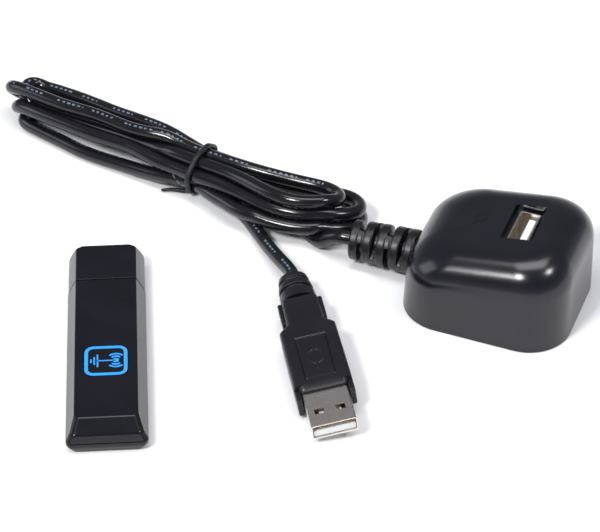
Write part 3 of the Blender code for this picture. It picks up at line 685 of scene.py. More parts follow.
def carve(made: bpy.types.Object, steps: Sequence[tuple[str, bpy.types.Object]]) -> bpy.types.Object:
    """Boolean other objects out of or into one, apply it, and remove them.

    Args:
        made: the object to change.
        steps: pairs of a Boolean operation and its object, in order.

    Returns:
        The same object with its new mesh.
    """
    for operation, tool in steps:
        step = made.modifiers.new(operation.lower(), "BOOLEAN")
        step.operation = operation
        step.solver = "EXACT"
        step.object = tool
    bpy.context.view_layer.update()
    evaluated = made.evaluated_get(bpy.context.evaluated_depsgraph_get())
    mesh = bpy.data.meshes.new_from_object(evaluated)
    made.modifiers.clear()
    made.data = mesh
    for _, tool in steps:
        bpy.data.objects.remove(tool, do_unlink=True)
    return made


def settle(made: bpy.types.Object, angle: float = 32.0, weighted: bool = True) -> None:
    """Shade smooth with edges sharper than the angle kept, and let the large flat faces rule the normals.

    Args:
        made: the object.
        angle: the angle in degrees.
        weighted: whether to weight the normals by area.
    """
    made.data.shade_smooth()
    made.data.set_sharp_from_angle(angle=math.radians(angle))
    if weighted:
        step = made.modifiers.new("normals", "WEIGHTED_NORMAL")
        step.keep_sharp = True


def place(made: bpy.types.Object, finish: Finish, body: Body, *nodes: str) -> bpy.types.Object:
    """Dress a piece, let it ride on its body, and hide the CAD nodes that it stands for.

    Args:
        made: the piece.
        finish: its surface.
        body: the body that it rides on.
        *nodes: the CAD nodes that it stands for.

    Returns:
        The same piece.
    """
    made.data.materials.clear()
    made.data.materials.append(finish.material())
    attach(made, body.value)
    if nodes:
        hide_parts(*nodes)
    LOG.info("%s: %d faces on %s", made.name, len(made.data.polygons), body.value)
    return made


def dress(finish: Finish, *nodes: str) -> None:
    """Give CAD nodes a finish.

    Args:
        finish: the surface.
        *nodes: the nodes' names.
    """
    for name in nodes:
        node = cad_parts[name]
        if not node.material_slots:
            node.data.materials.append(None)
        for slot in node.material_slots:
            slot.material = finish.material()


def extent(node: str) -> tuple[Points, Points]:
    """A CAD node's lowest and highest corners in millimetres."""
    low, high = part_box(node)
    return np.array(low) / MM, np.array(high) / MM


@dataclass(frozen=True)
class Stand:
    """A sub-assembly's own frame: where its origin is, how it is turned about Z and rolled about its own
    Y.
    """

    origin: tuple[float, float, float]
    turn: float = 0.0
    roll: float = 0.0

    def out(self, points: Points) -> Points:
        """The stand's points in the world: rolled, then turned, then moved.

        Args:
            points: points in the stand.

        Returns:
            The same points in the world.
        """
        points = np.asarray(points, float)
        x, y, z = points[..., 0], points[..., 1], points[..., 2]
        rx = x * math.cos(self.roll) + z * math.sin(self.roll)
        rz = -x * math.sin(self.roll) + z * math.cos(self.roll)
        wx = rx * math.cos(self.turn) - y * math.sin(self.turn)
        wy = rx * math.sin(self.turn) + y * math.cos(self.turn)
        return np.stack([wx, wy, rz], axis=-1) + np.array(self.origin)

    def back(self, points: Points) -> Points:
        """World points in the stand, for a stand that isn't rolled.

        Args:
            points: points in the world.

        Returns:
            The same points in the stand.
        """
        moved = np.asarray(points, float) - np.array(self.origin)
        x, y = moved[..., 0], moved[..., 1]
        return np.stack([x * math.cos(self.turn) + y * math.sin(self.turn),
                         -x * math.sin(self.turn) + y * math.cos(self.turn), moved[..., 2]], axis=-1)


def box_mesh(name: str, stand: Stand, low: Sequence[float], high: Sequence[float], radius: float = 0.0
             ) -> bpy.types.Mesh:
    """Upright block between two corners of a stand, with round upright edges if it has a radius.

    Args:
        name: the mesh's name.
        stand: the frame that the block is in.
        low: its lowest corner.
        high: its highest corner.
        radius: its upright edges' radius.

    Returns:
        The mesh.
    """
    low, high = np.array(low, float), np.array(high, float)
    size, middle = high - low, (high + low) / 2
    outline = rounded_box(size[0], size[1], max(radius, 0.05), 4 if radius else 1) + middle[:2]
    rings = at_heights(np.stack([outline, outline]), np.array([low[2], high[2]]))
    return loft(name, stand.out(rings))


def strip(name: str, stand: Stand, line: Points, width: float, low: Callable[[Points], Points],
          thickness: float, closed: bool = False) -> bpy.types.Mesh:
    """Flat raised line on a surface: a band of that width on both sides of a line, from below it to
    thickness above.

    The band's edges are the line's points moved half the width along the line's normal in the plane.

    Args:
        name: the mesh's name.
        stand: the frame that the line is in.
        line: points in the plane.
        width: the band's width.
        low: the surface's height as a function of points in the plane.
        thickness: how far the band stands proud.
        closed: whether the line is a loop.

    Returns:
        The mesh, a closed shell.
    """
    line = np.asarray(line, float)
    if closed:
        along = unit(np.roll(line, -1, axis=0) - np.roll(line, 1, axis=0))
    else:
        along = unit(np.gradient(line, axis=0))
    side = np.stack([-along[:, 1], along[:, 0]], axis=1) * width / 2
    left, right = line + side, line - side
    ring = []
    for edge, lift in ((left, -0.06), (left, thickness), (right, thickness), (right, -0.06)):
        ring.append(np.column_stack([edge, low(edge) + lift]))
    rings = np.stack(ring, axis=1)
    return loft(name, stand.out(rings), closed)


def joined(name: str, meshes: Sequence[bpy.types.Mesh]) -> bpy.types.Object:
    """One object from several meshes.

    Args:
        name: the object's name.
        meshes: the meshes.

    Returns:
        The object.
    """
    points, faces, start = [], [], 0
    for mesh in meshes:
        flat = np.empty(len(mesh.vertices) * 3)
        mesh.vertices.foreach_get("co", flat)
        points.append(flat.reshape(-1, 3))
        faces += [[start + v for v in face.vertices] for face in mesh.polygons]
        start += len(mesh.vertices)
    together = bpy.data.meshes.new(name)
    together.from_pydata(np.vstack(points).tolist(), [], faces)
    together.update()
    return thing(name, together)


# ---------------------------------------------------------------- stick


@dataclass
class Stick:
    """The flat stick: two covers that meet in a seam, the cap, the badge, and what is inside.

    A level is (height, half width, clipped end's y, square end's y). The skin between levels is straight,
    so the sides and the clipped end get their flat chamfers, and rounding the line of levels gives each
    edge its radius.
    """

    half_width: float = 10.55
    foot_half_width: float = 9.2
    shoulder_half_width: float = 9.4
    top_half_width: float = 8.15
    thickness: float = 8.6
    waist_low: float = 2.2
    waist_high: float = 3.7
    shoulder_height: float = 6.0
    tail_corner: tuple[float, float] = (1.0, 1.0)
    cap_corner: tuple[float, float] = (1.6, 1.0)
    inward: float = 3.0
    edge: float = 0.5
    wall: float = 1.2
    badge_side: float = 11.4
    badge_y: float = -11.6
    badge_depth: float = 0.35
    stand: Stand = field(default_factory=lambda: Stand((0.0, 0.0, 0.0)))

    def __post_init__(self) -> None:
        """Read the ends, the seams and the heights off the frame."""
        bottom_low, bottom_high = extent("stick_bottom_cover")
        top_low, _ = extent("stick_top_cover")
        cap_low, cap_high = extent("stick_cap")
        self.tail, self.front = bottom_low[1], bottom_high[1]
        self.split_low, self.split_high = bottom_high[2], top_low[2]
        self.cap_near, self.cap_far = cap_low[1], cap_high[1]

    def skin(self, name: str, levels: Sequence[Sequence[float]], corner: tuple[float, float]
             ) -> bpy.types.Mesh:
        """Closed skin through rounded levels, each a rectangle with its two end corners clipped.

        Args:
            name: the mesh's name.
            levels: the levels from the bottom up.
            corner: how far the clip reaches along X and along Y.

        Returns:
            The mesh.
        """
        line = rounded(np.array(levels), self.edge, 5, False)
        rings = []
        for height, half, end, square in line:
            step = math.copysign(corner[1], end - square)
            corners = [(half, square), (-half, square), (-half, end - step), (-half + corner[0], end),
                       (half - corner[0], end), (half, end - step)]
            outline = rounded(np.array(corners), (0.2, 0.2, 0.5, 0.5, 0.5, 0.5), 4, True)
            rings.append(np.column_stack([outline, np.full(len(outline), height)]))
        return loft(name, np.stack(rings))

    def cavity(self, name: str) -> bpy.types.Object:
        """Room inside both covers, a wall's thickness in from the skin.

        Args:
            name: the tool's name.

        Returns:
            The object to cut with.
        """
        w, front = self.wall, self.front - self.wall - 0.2
        levels = ((w, self.foot_half_width - 0.8, self.tail + 1.9),
                  (self.waist_low + 0.7, self.half_width - w, self.tail + w),
                  (self.waist_high + 0.3, self.half_width - w, self.tail + w),
                  (self.shoulder_height, self.shoulder_half_width - w, self.tail + 1.8),
                  (self.thickness - w, self.top_half_width - 0.9, self.tail + 5.4))
        rings = [[(half, front, z), (-half, front, z), (-half, end, z), (half, end, z)]
                 for z, half, end in levels]
        return thing(name, loft(name, np.array(rings)))

    def throat(self, name: str, low_y: float, high_y: float) -> bpy.types.Object:
        """Opening that the plug's shell passes through.

        Args:
            name: the tool's name.
            low_y: where it starts.
            high_y: where it ends.

        Returns:
            The object to cut with.
        """
        low, high = extent("stick_plug_shell")
        return thing(name, box_mesh(name, self.stand, (low[0] - GAP, low_y, low[2] - GAP),
                                    (high[0] + GAP, high_y, high[2] + GAP)))

    def covers(self) -> None:
        """Top and bottom covers, hollowed, with the throat and the badge's seat."""
        tail, front, wide = self.tail, self.front, self.half_width
        top = thing("stick_upper_shell", self.skin("stick_upper_shell", (
            (self.split_high, wide, tail, front),
            (self.shoulder_height, self.shoulder_half_width, tail + 0.6, front),
            (self.thickness, self.top_half_width, tail + 4.6, front),
            (self.thickness, self.top_half_width - self.inward, tail + 4.6 + self.inward,
             front - self.inward),
        ), self.tail_corner))
        bottom = thing("stick_lower_shell", self.skin("stick_lower_shell", (
            (0.0, self.foot_half_width - self.inward, tail + 0.9 + self.inward, front - self.inward),
            (0.0, self.foot_half_width, tail + 0.9, front),
            (self.waist_low, wide, tail, front),
            (self.split_low, wide, tail, front),
        ), self.tail_corner))
        side = self.badge_side / 2 + 0.15
        floor = self.thickness - self.badge_depth - 0.1
        seat = thing("badge_seat", box_mesh("badge_seat", self.stand, (-side, self.badge_y - side, floor),
                                            (side, self.badge_y + side, self.thickness + 1.0), 1.9))
        carve(top, (("DIFFERENCE", self.cavity("upper_room")), ("DIFFERENCE", seat),
                    ("DIFFERENCE", self.throat("upper_throat", front - 5.0, front + 1.0))))
        carve(bottom, (("DIFFERENCE", self.cavity("lower_room")),
                       ("DIFFERENCE", self.throat("lower_throat", front - 5.0, front + 1.0))))
        for made, node in ((top, "stick_top_cover"), (bottom, "stick_bottom_cover")):
            settle(made, 24.0)
            place(made, GLOSS_BLACK, Body.ADAPTER, node)

    def cap(self) -> None:
        """Pull-off cap with the same section, a clipped far end, and the plug's pocket."""
        near, far, wide = self.cap_near, self.cap_far, self.half_width - 0.1
        made = thing("stick_cap_shell", self.skin("stick_cap_shell", (
            (0.0, self.foot_half_width - self.inward, far - 1.1 - self.inward, near + self.inward),
            (0.0, self.foot_half_width, far - 1.1, near),
            (self.waist_low, wide, far, near),
            (self.waist_high, wide, far, near),
            (self.shoulder_height, self.shoulder_half_width, far - 0.2, near),
            (self.thickness, self.top_half_width, far - 1.2, near),
            (self.thickness, self.top_half_width - self.inward, far - 1.2 - self.inward, near + self.inward),
        ), self.cap_corner))
        plug_end = extent("stick_plug_shell")[1][1]
        carve(made, (("DIFFERENCE", self.throat("cap_pocket", near - 1.0, plug_end + 0.6)),))
        settle(made, 24.0)
        place(made, GLOSS_BLACK, Body.CAP, "stick_cap")

    def badge(self) -> None:
        """Dark lens flush with the top, and on it a frame, a mast with its two waves, and three level
        bars.
        """
        middle = np.array([0.0, self.badge_y])
        top = self.thickness + 0.03
        outlines = [rounded_box(self.badge_side - 2 * pull, self.badge_side - 2 * pull, 1.8, 8) + middle
                    for pull in (0.0, 0.0, 0.05, 0.16)]
        heights = np.array([top - self.badge_depth, top - 0.1, top - 0.03, top])
        lens = thing("badge_lens", loft("badge_lens", at_heights(np.stack(outlines), heights)))
        settle(lens)
        place(lens, BADGE_LENS, Body.ADAPTER, "radio_badge")

        def level(points: Points) -> Points:
            """The lens's flat top."""
            return np.full(len(points), top)

        lines = [(rounded_box(10.3, 10.3, 1.9, 8), 0.95, True),
                 (np.linspace((-2.4, 0.0), (2.5, 0.0), 12), 0.42, False)]
        turns = np.linspace(0.0, 2 * math.pi, 25)[:-1]
        mast_top = np.array([2.6, 0.0])
        lines.append((mast_top + 0.42 * np.column_stack([np.cos(turns), np.sin(turns)]), 0.8, True))
        for side in (-1, 1):
            sweep = np.radians(np.linspace(48.0, 132.0, 17)) * side
            for radius, width in ((1.55, 0.55), (2.5, 0.5)):
                arc = mast_top + radius * np.column_stack([np.cos(sweep), np.sin(sweep)])
                lines.append((arc, width, False))
        for number, half in enumerate((0.7, 1.5, 2.4)):
            x = -3.9 + 0.85 * number
            lines.append((np.linspace((x, -half), (x, half), 6), 0.42, False))
        marks = [strip("badge_line", self.stand, line + middle, width, level, 0.04, closed)
                 for line, width, closed in lines]
        made = joined("badge_print", marks)
        settle(made)
        place(made, BADGE_BLUE, Body.ADAPTER, "radio_badge")

    def insides(self) -> None:
        """Board, its parts, the plug and its contacts keep their CAD shapes."""
        dress(BOARD, "stick_circuit_board")
        dress(CHIP, "stick_radio_chip", "stick_regulator", "stick_memory_chip")
        dress(TIN, "stick_shield_can", "stick_crystal")
        dress(CERAMIC, "stick_power_capacitor", "stick_signal_capacitor", "stick_chip_antenna")
        dress(NICKEL, "stick_plug_shell")
        dress(INSULATOR, "stick_plug_insulator")
        dress(GOLD, *(f"stick_contact_{number}" for number in range(1, 5)))

    def build(self) -> None:
        """Every piece of the stick."""
        self.covers()
        self.cap()
        self.badge()
        self.insides()


# ---------------------------------------------------------------- cradle


@dataclass
class Cradle:
    """Rounded block with a sloping top, the socket's recess in it, and a ribbed strain relief at one
    side.
    """

    stand: Stand = field(default_factory=lambda: Stand((107.3, 18.9, 0.0), math.radians(-25.2)))
    size: tuple[float, float] = (47.1, 43.4)
    corner: float = 12.4
    height: float = 24.36
    slope: float = 0.169
    draft: float = 0.5
    shoulder: float = 9.8
    wall: float = 2.3
    pocket: tuple[float, float] = (8.9, 15.2)
    pocket_place: tuple[float, float] = (5.65, 1.55)
    pocket_floor: float = 22.7
    socket: tuple[float, float] = (5.7, 13.1)
    exit_height: float = 6.9

    def levels(self, inset: float, height: float, low: float, steps: int) -> Points:
        """Rings of the block's skin, or of its hollow.

        Each ring is a rounded rectangle pulled in by the draft and then by r(1 - cos t) while it climbs r
        sin t, for t from 0 to a quarter turn. Heights then grow by the slope times x over the height.

        Args:
            inset: how far inside the skin.
            height: the rings' height at the middle.
            low: where the lowest ring is.
            steps: rings in the quarter turn.

        Returns:
            Points shaped (rings, points, 3).
        """
        t = np.linspace(0.0, math.pi / 2, steps + 1)
        base = height - self.shoulder
        heights = np.concatenate([[low, low + 0.3], base + self.shoulder * np.sin(t)])
        pulls = np.concatenate([[0.25, 0.0], self.draft + self.shoulder * (1 - np.cos(t))]) + inset
        corners = np.maximum(self.corner - inset - 0.45 * (pulls - inset), 3.0)
        outlines = np.stack([rounded_box(self.size[0] - 2 * pull, self.size[1] - 2 * pull, corner, 14)
                             for pull, corner in zip(pulls, corners)])
        rings = at_heights(outlines, heights)
        rings[..., 2] *= 1 + self.slope * rings[..., 0] / self.height
        return rings

    def top_at(self, points: Points) -> Points:
        """Height of the sloping top over points of the plan."""
        return self.height + self.slope * points[:, 0]

    def about(self, name: str, size: tuple[float, float], low: float, high: float, radius: float
              ) -> bpy.types.Object:
        """Upright block about the socket's middle.

        Args:
            name: the block's name.
            size: its size in plan.
            low: its bottom.
            high: its top.
            radius: its upright edges' radius.

        Returns:
            The object to cut with.
        """
        u, v = self.pocket_place
        return thing(name, box_mesh(name, self.stand, (u - size[0] / 2, v - size[1] / 2, low),
                                    (u + size[0] / 2, v + size[1] / 2, high), radius))

    def housing(self) -> None:
        """The block with its hollow, the socket's recess and slot, and the hole for the strain relief."""
        outside = self.stand.out(self.levels(0.0, self.height, 0.0, 22))
        made = thing("cradle_block", loft("cradle_block", outside))
        hollow = thing("cradle_room", loft("cradle_room", self.stand.out(
            self.levels(self.wall, self.height - self.wall, -1.0, 8))))
        well = self.about("socket_well", (self.pocket[0] + 3.0, self.pocket[1] + 3.0),
                          self.pocket_floor - 2.0, 2 * self.height, 0.6)
        carve(hollow, (("DIFFERENCE", well),))
        recess = self.about("socket_recess", self.pocket, self.pocket_floor, 2 * self.height, 0.5)
        slot = self.about("socket_slot", (self.socket[0] + 2 * GAP, self.socket[1] + 2 * GAP), 8.0,
                          self.pocket_floor + 1.0, 0.35)
        turns = np.linspace(0.0, 2 * math.pi, 33)[:-1]
        edge = self.size[0] / 2
        ring = np.column_stack([np.zeros(32), 4.5 * np.cos(turns), self.exit_height + 4.5 * np.sin(turns)])
        hole = thing("exit_hole", loft("exit_hole", self.stand.out(
            np.stack([ring - (edge + 6.0, 0.0, 0.0), ring - (edge - 6.0, 0.0, 0.0)]))))
        carve(made, tuple(("DIFFERENCE", tool) for tool in (hollow, recess, slot, hole)))
        settle(made)
        place(made, SATIN_BLACK, Body.CRADLE, "cradle_housing")

    def mark(self) -> None:
        """Small raised pictogram of a plug beside the socket: a round-cornered body, two blades and a
        stem.
        """
        turn = math.radians(66.0)
        turning = np.array([[math.cos(turn), math.sin(turn)], [-math.sin(turn), math.cos(turn)]])
        middle = np.array([-6.6, 1.6])
        lines = [(rounded_box(2.6, 2.9, 0.7, 5) + (0.2, 0.0), True),
                 (np.linspace((-3.4, 0.0), (-1.2, 0.0), 8), False)]
        lines += [(np.linspace((1.7, y), (3.1, y), 6), False) for y in (-0.75, 0.75)]
        marks = [strip("mark_line", self.stand, line @ turning + middle, 0.42, self.top_at, 0.1, closed)
                 for line, closed in lines]
        made = joined("cradle_plug_mark", marks)
        settle(made)
        place(made, SATIN_BLACK, Body.CRADLE)

    def fittings(self) -> None:
        """Base, pad, screws, board, socket and wires keep their CAD shapes."""
        dress(SATIN_BLACK, "cradle_base_plate")
        dress(PAD_RUBBER, "cradle_non_slip_pad")
        dress(ZINC, *(f"cradle_base_screw_{number}" for number in range(1, 5)),
              *(f"cradle_board_screw_{number}" for number in (1, 2)))
        dress(BOARD, "cradle_socket_board")
        dress(NICKEL, "cradle_socket_shell")
        dress(INSULATOR, "cradle_socket_core")
        dress(GOLD, *(f"cradle_socket_contact_{number}" for number in range(1, 5)))
        for colour, finish in WIRES.items():
            dress(finish, "cradle_wire_" + colour)

    def build(self) -> None:
        """Every piece of the cradle."""
        self.housing()
        self.mark()
        self.fittings()


@dataclass
class StrainRelief:
    """Ribbed sleeve on a slightly curved middle line: slanted grooves between ribs, each bridged at two
    opposite places.
    """

    cradle: Cradle
    length: float = 20.2
    ribs: int = 5
    rib_share: float = 0.62
    root_radius: float = 6.5
    tip_radius: float = 5.6
    core_radius: float = 3.3
    bend: float = 0.9

    def __post_init__(self) -> None:
        """Work out the pitch and where the sleeve starts."""
        self.start = self.cradle.size[0] / 2 + 0.25
        self.pitch = self.length / self.ribs
        self.reach = (self.ribs - 1 + self.rib_share) * self.pitch

    def middle(self, way: Points) -> Points:
        """The sleeve's middle line: straight out, and moved sideways by the square of the way.

        Args:
            way: distances from the sleeve's start.

        Returns:
            Points of the line in the cradle's frame.
        """
        way = np.asarray(way, float)
        side = -self.bend * (np.maximum(way, 0.0) / self.length) ** 2
        return np.stack([-self.start - way, side, np.full_like(way, self.cradle.exit_height)], axis=-1)

    def build(self) -> None:
        """Sweep the ribs.

        The radius is the tapering rib's, less the groove's depth where the groove's wave and the open
        part of its turn both are one. Rings stand across the middle line.
        """
        inside = np.array([-5.75, -3.56, -3.54, -0.06])
        way = np.concatenate([inside, np.linspace(0.0, self.reach, 230)])
        turns = np.linspace(0.0, 2 * math.pi, 121)[:-1]
        share = np.clip(way / self.reach, 0.0, 1.0)
        rib = self.root_radius + share * (self.tip_radius - self.root_radius)
        number = np.floor(np.maximum(way, 0.0) / self.pitch)
        part = np.maximum(way, 0.0) / self.pitch - number
        middle = (1 + self.rib_share) / 2
        half = (1 - self.rib_share) / 2
        groove = 1 - smooth_step(np.abs(part - middle), 0.45 * half, 1.08 * half)
        crown = 0.16 * (1 - smooth_step(np.minimum(part, np.abs(self.rib_share - part)), 0.0, 0.14))
        bridge_at = np.where(number % 2 == 0, math.radians(155.0), math.radians(230.0))
        apart = np.abs((turns[None, :] - bridge_at[:, None] + math.pi / 2) % math.pi - math.pi / 2)
        opened = smooth_step(apart, math.radians(17.0), math.radians(27.0))
        radius = (rib - crown)[:, None] - (rib - self.core_radius)[:, None] * groove[:, None] * opened
        end = smooth_step(self.reach - way, 0.0, 0.5)
        radius -= 0.4 * (1 - end)[:, None]
        radius[:4] = np.array([5.3, 5.3, 4.1, 4.1])[:, None]
        middles = self.middle(way)
        along = unit(np.gradient(middles, axis=0))
        side = unit(np.cross(np.array([0.0, 0.0, 1.0]), along))
        up = np.cross(along, side)
        rings = (middles[:, None] + radius[..., None] * (np.cos(turns)[None, :, None] * side[:, None]
                                                         + np.sin(turns)[None, :, None] * up[:, None]))
        made = thing("cradle_sleeve", loft("cradle_sleeve", self.cradle.stand.out(rings)))
        settle(made, 40.0, False)
        place(made, MATT_BLACK, Body.CRADLE, "cradle_strain_relief")


# ---------------------------------------------------------------- lead


@dataclass(frozen=True)
class Stretch:
    """Part of the cord's route between two passes through the tie, as (along, across, height) from the
    tie.
    """

    points: tuple[Mark, ...]
    printed: bool


@dataclass
class Lead:
    """The cord: eight passes through the tie, four loops on the left and three on the right, then the
    plug.
    """

    relief: StrainRelief
    plug: "LeadPlug"
    stand: Stand = field(default_factory=lambda: Stand((27.4, 70.8, 0.0), math.radians(-32.5)))
    diameter: float = 4.0
    spacing: float = 2.0
    rounds: int = 260
    tie_round: float = 0.7
    route: tuple[Stretch, ...] = (
        Stretch(((39.4, -5.9, 2.1), (33.0, -4.6, 2.1), (24.0, -2.4, 2.2), (12.0, -0.8, 4.6),
                 (0.0, 0.0, 7.5), (-15.0, 3.0, 6.6), (-30.0, 6.5, 5.6), (-48.0, 8.4, 5.4),
                 (-61.0, 8.4, 5.3)), False),
        Stretch(((-66.6, 7.7, 6.2), (-70.0, 5.7, 8.4), (-68.0, 3.4, 11.0), (-62.5, 2.5, 12.0),
                 (-48.0, 1.2, 12.3), (-36.7, 1.8, 12.3), (-22.1, 1.0, 12.0), (-9.5, 1.9, 11.4),
                 (0.0, 2.26, 11.0), (16.0, 2.8, 10.8), (29.0, 5.5, 9.6), (37.0, 6.8, 9.6),
                 (42.5, 5.6, 10.0)), True),
        Stretch(((44.4, 2.0, 10.8), (42.0, -2.7, 11.6), (34.0, -6.6, 12.3), (25.0, -6.0, 12.3),
                 (12.0, -2.6, 11.4), (0.0, -2.26, 11.0), (-9.0, -1.4, 10.6), (-20.0, 0.5, 9.0),
                 (-34.0, 2.5, 7.0), (-48.0, 3.2, 6.2), (-62.0, 3.4, 6.0), (-66.2, 4.4, 6.3)), False),
        Stretch(((-67.8, 7.3, 6.8), (-66.2, 9.4, 7.0), (-62.0, 10.1, 7.3), (-48.0, 10.4, 7.9),
                 (-32.0, 9.4, 9.0), (-17.0, 8.3, 9.6), (-7.0, 6.0, 9.2), (0.0, 5.07, 8.4),
                 (12.0, 6.5, 7.0), (25.0, 7.5, 5.0), (38.0, 10.5, 5.2)), True),
        Stretch(((45.7, 10.2, 5.6), (49.3, 6.0, 6.3), (48.4, 1.6, 7.3), (41.4, -4.5, 8.6),
                 (29.6, -7.9, 8.8), (14.8, -5.9, 8.7), (0.0, -5.07, 8.4), (-9.0, -3.6, 8.8),
                 (-20.0, -2.5, 9.0), (-34.0, -3.1, 9.0), (-46.0, -2.3, 8.8), (-58.0, -1.0, 8.3),
                 (-63.6, 0.8, 7.2)), False),
        Stretch(((-65.8, 4.4, 5.2), (-64.2, 8.2, 3.4), (-60.0, 9.8, 2.6), (-48.0, 11.0, 2.1),
                 (-30.0, 9.5, 2.1), (-14.0, 6.5, 3.4), (0.0, 4.06, 5.07), (10.0, 7.0, 3.4),
                 (22.0, 10.0, 2.1), (36.0, 13.0, 2.1), (46.0, 10.5, 2.3)), True),
        Stretch(((50.0, 4.6, 3.4), (48.7, 0.3, 4.5), (41.8, -6.5, 5.7), (32.4, -9.6, 5.9),
                 (19.6, -10.4, 5.9), (10.0, -7.5, 5.6), (0.0, -4.06, 5.07)), False),
        Stretch(((-10.0, -4.8, 4.0), (-18.3, -4.5, 3.0), (-26.4, -4.3, 2.4), (-38.0, -4.2, 2.1),
                 (-48.0, -2.6, 2.1), (-60.0, -0.8, 2.1), (-63.2, 0.4, 2.1), (-64.4, 3.4, 2.1),
                 (-63.2, 6.4, 2.1), (-60.0, 7.6, 2.1), (-48.0, 6.8, 2.1), (-30.0, 4.5, 2.1),
                 (-12.0, 1.5, 2.8), (0.0, 0.0, 3.6), (8.0, -2.4, 2.7), (14.5, -5.0, 2.1)), True),
    )
    to_plug: tuple[Mark, ...] = ((41.0, 51.0, 2.2), (44.6, 41.2, 2.5), (48.0, 32.2, 3.9))

    def curve(self, marks: Points, per_step: int) -> Points:
        """Catmull-Rom curve through the marks, with that many points to each step.

        Args:
            marks: the marks, one a row.
            per_step: points to each step.

        Returns:
            The curve's points.
        """
        ends = np.vstack([2 * marks[0] - marks[1], marks, 2 * marks[-1] - marks[-2]])
        a, b, c, d = (ends[i:len(ends) - 3 + i, None, :] for i in range(4))
        t = np.linspace(0.0, 1.0, per_step, endpoint=False)[None, :, None]
        path = 0.5 * (2 * b + (c - a) * t + (2 * a - 5 * b + 4 * c - d) * t ** 2
                      + (3 * b - a - 3 * c + d) * t ** 3)
        return np.vstack([path.reshape(-1, marks.shape[1]), marks[-1:]])

    def evenly(self, path: Points, step: float) -> Points:
        """The same path with its points a step apart. Columns past the third go along with them.

        Args:
            path: the path's points, one a row.
            step: the spacing.

        Returns:
            The new points.
        """
        run = np.concatenate([[0.0], np.cumsum(np.linalg.norm(np.diff(path[:, :3], axis=0), axis=1))])
        wanted = np.linspace(0.0, run[-1], int(round(run[-1] / step)) + 1)
        return np.stack([np.interp(wanted, run, column) for column in path.T], axis=1)

    def marks(self) -> Points:
        """The route's marks in the world, with a fourth column that is one where the print looks up.

        Returns:
            The marks, four numbers a row.
        """
        reach = self.relief.reach
        way_out = np.array([reach - 1.5, reach + 2.0, reach + 5.0])
        tip = self.relief.cradle.stand.out(self.relief.middle(way_out))
        rows = [(*point, 0.0) for point in tip]
        for stretch in self.route:
            rows += [(*point, float(stretch.printed)) for point in self.stand.out(np.array(stretch.points))]
        rows += [(*point, 1.0) for point in self.to_plug]
        entry = np.array([(0.0, 4.0, -0.2), (0.0, -1.5, 0.0)])
        rows += [(*point, 1.0) for point in self.plug.stand.out(entry)]
        return np.array(rows)

    def relaxed(self, path: Points) -> Points:
        """Let the cord settle under its own stiffness.

        In each round every point moves a little towards its mark and towards the middle of its
        neighbours, more so where it bends tighter than the cord can. The spacing is evened out, points of
        different passes that are nearer than a diameter are pushed apart, and nothing sinks into the
        surface below.

        Args:
            path: evenly spaced points.

        Returns:
            The settled points.
        """
        count = len(path)
        index = np.arange(count)
        strangers = np.abs(index[:, None] - index[None, :]) * self.spacing > 2.4 * self.diameter
        at_tie = np.exp(-(self.stand.back(path)[:, :1] / 3.0) ** 2)
        hold = 0.06 + 0.10 * at_tie
        pinned = (index < 3) | (index > count - 4)
        home, now = path.copy(), path.copy()
        for number in range(self.rounds):
            now += hold * (home - now)
            pull = 0.5 * (now[:-2] + now[2:]) - now[1:-1]
            tight = smooth_step(np.linalg.norm(pull, axis=1, keepdims=True), 0.34, 0.6)
            now[1:-1] += (0.14 + 0.4 * tight) * pull
            gap = np.diff(now, axis=0)
            length = np.linalg.norm(gap, axis=1, keepdims=True)
            move = 0.12 * gap * (1 - length.mean() / length)
            now[:-1] += move
            now[1:] -= move
            for _ in range(2):
                apart = now[:, None, :] - now[None, :, :]
                distance = np.sqrt((apart ** 2).sum(axis=2)) + 1e-9
                short = np.where(strangers & (distance < self.diameter + 0.03),
                                 (self.diameter + 0.03 - distance) / distance, 0.0)
                now += 0.3 * (apart * short[..., None]).sum(axis=1)
            now[:, 2] = np.maximum(now[:, 2] - 0.004, self.diameter / 2 + 0.08)
            now[pinned] = home[pinned]
        return now

    def tube(self, path: Points, print_up: Points) -> bpy.types.Mesh:
        """Skin of the cord with its own UV map.

        Each ring stands across the path, on the normal that looks most upwards and the one square to it.
        U is the way along in centimetres. V is the way round, turned by up to half a turn where the print
        looks down.

        Args:
            path: the cord's middle line.
            print_up: one at each point where the print looks up, else zero.

        Returns:
            The mesh.
        """
        along = unit(np.gradient(path, axis=0))
        up = unit(np.array([0.0, 0.0, 1.0]) - along[:, 2:3] * along)
        side = np.cross(along, up)
        columns = 18
        turns = np.linspace(0.0, 2 * math.pi, columns + 1)[:-1]
        ring = np.cos(turns)[None, :, None] * up[:, None] + np.sin(turns)[None, :, None] * side[:, None]
        rings = path[:, None] + self.diameter / 2 * ring
        mesh = loft("cord", rings)
        run = np.concatenate([[0.0], np.cumsum(np.linalg.norm(np.diff(path, axis=0), axis=1))]) / 10
        turned = 0.5 + 0.42 * (1 - print_up) - 0.05
        corners = np.empty(len(mesh.loops), int)
        mesh.loops.foreach_get("vertex_index", corners)
        row, column = corners // columns, corners % columns
        starts = np.empty(len(mesh.polygons), int)
        sizes = np.empty(len(mesh.polygons), int)
        mesh.polygons.foreach_get("loop_start", starts)
        mesh.polygons.foreach_get("loop_total", sizes)
        face = np.repeat(np.arange(len(sizes)), sizes)
        wraps = np.maximum.reduceat(column, starts) - np.minimum.reduceat(column, starts) == columns - 1
        quads = sizes[face] == 4
        v = column / columns + np.where(wraps[face] & quads & (column == 0), 1.0, 0.0) + turned[row]
        low = np.minimum.reduceat(np.floor(v), starts)[face]
        uv = np.column_stack([run[row], v - low])
        mesh.uv_layers.new(name="along").data.foreach_set("uv", uv.ravel())
        return mesh

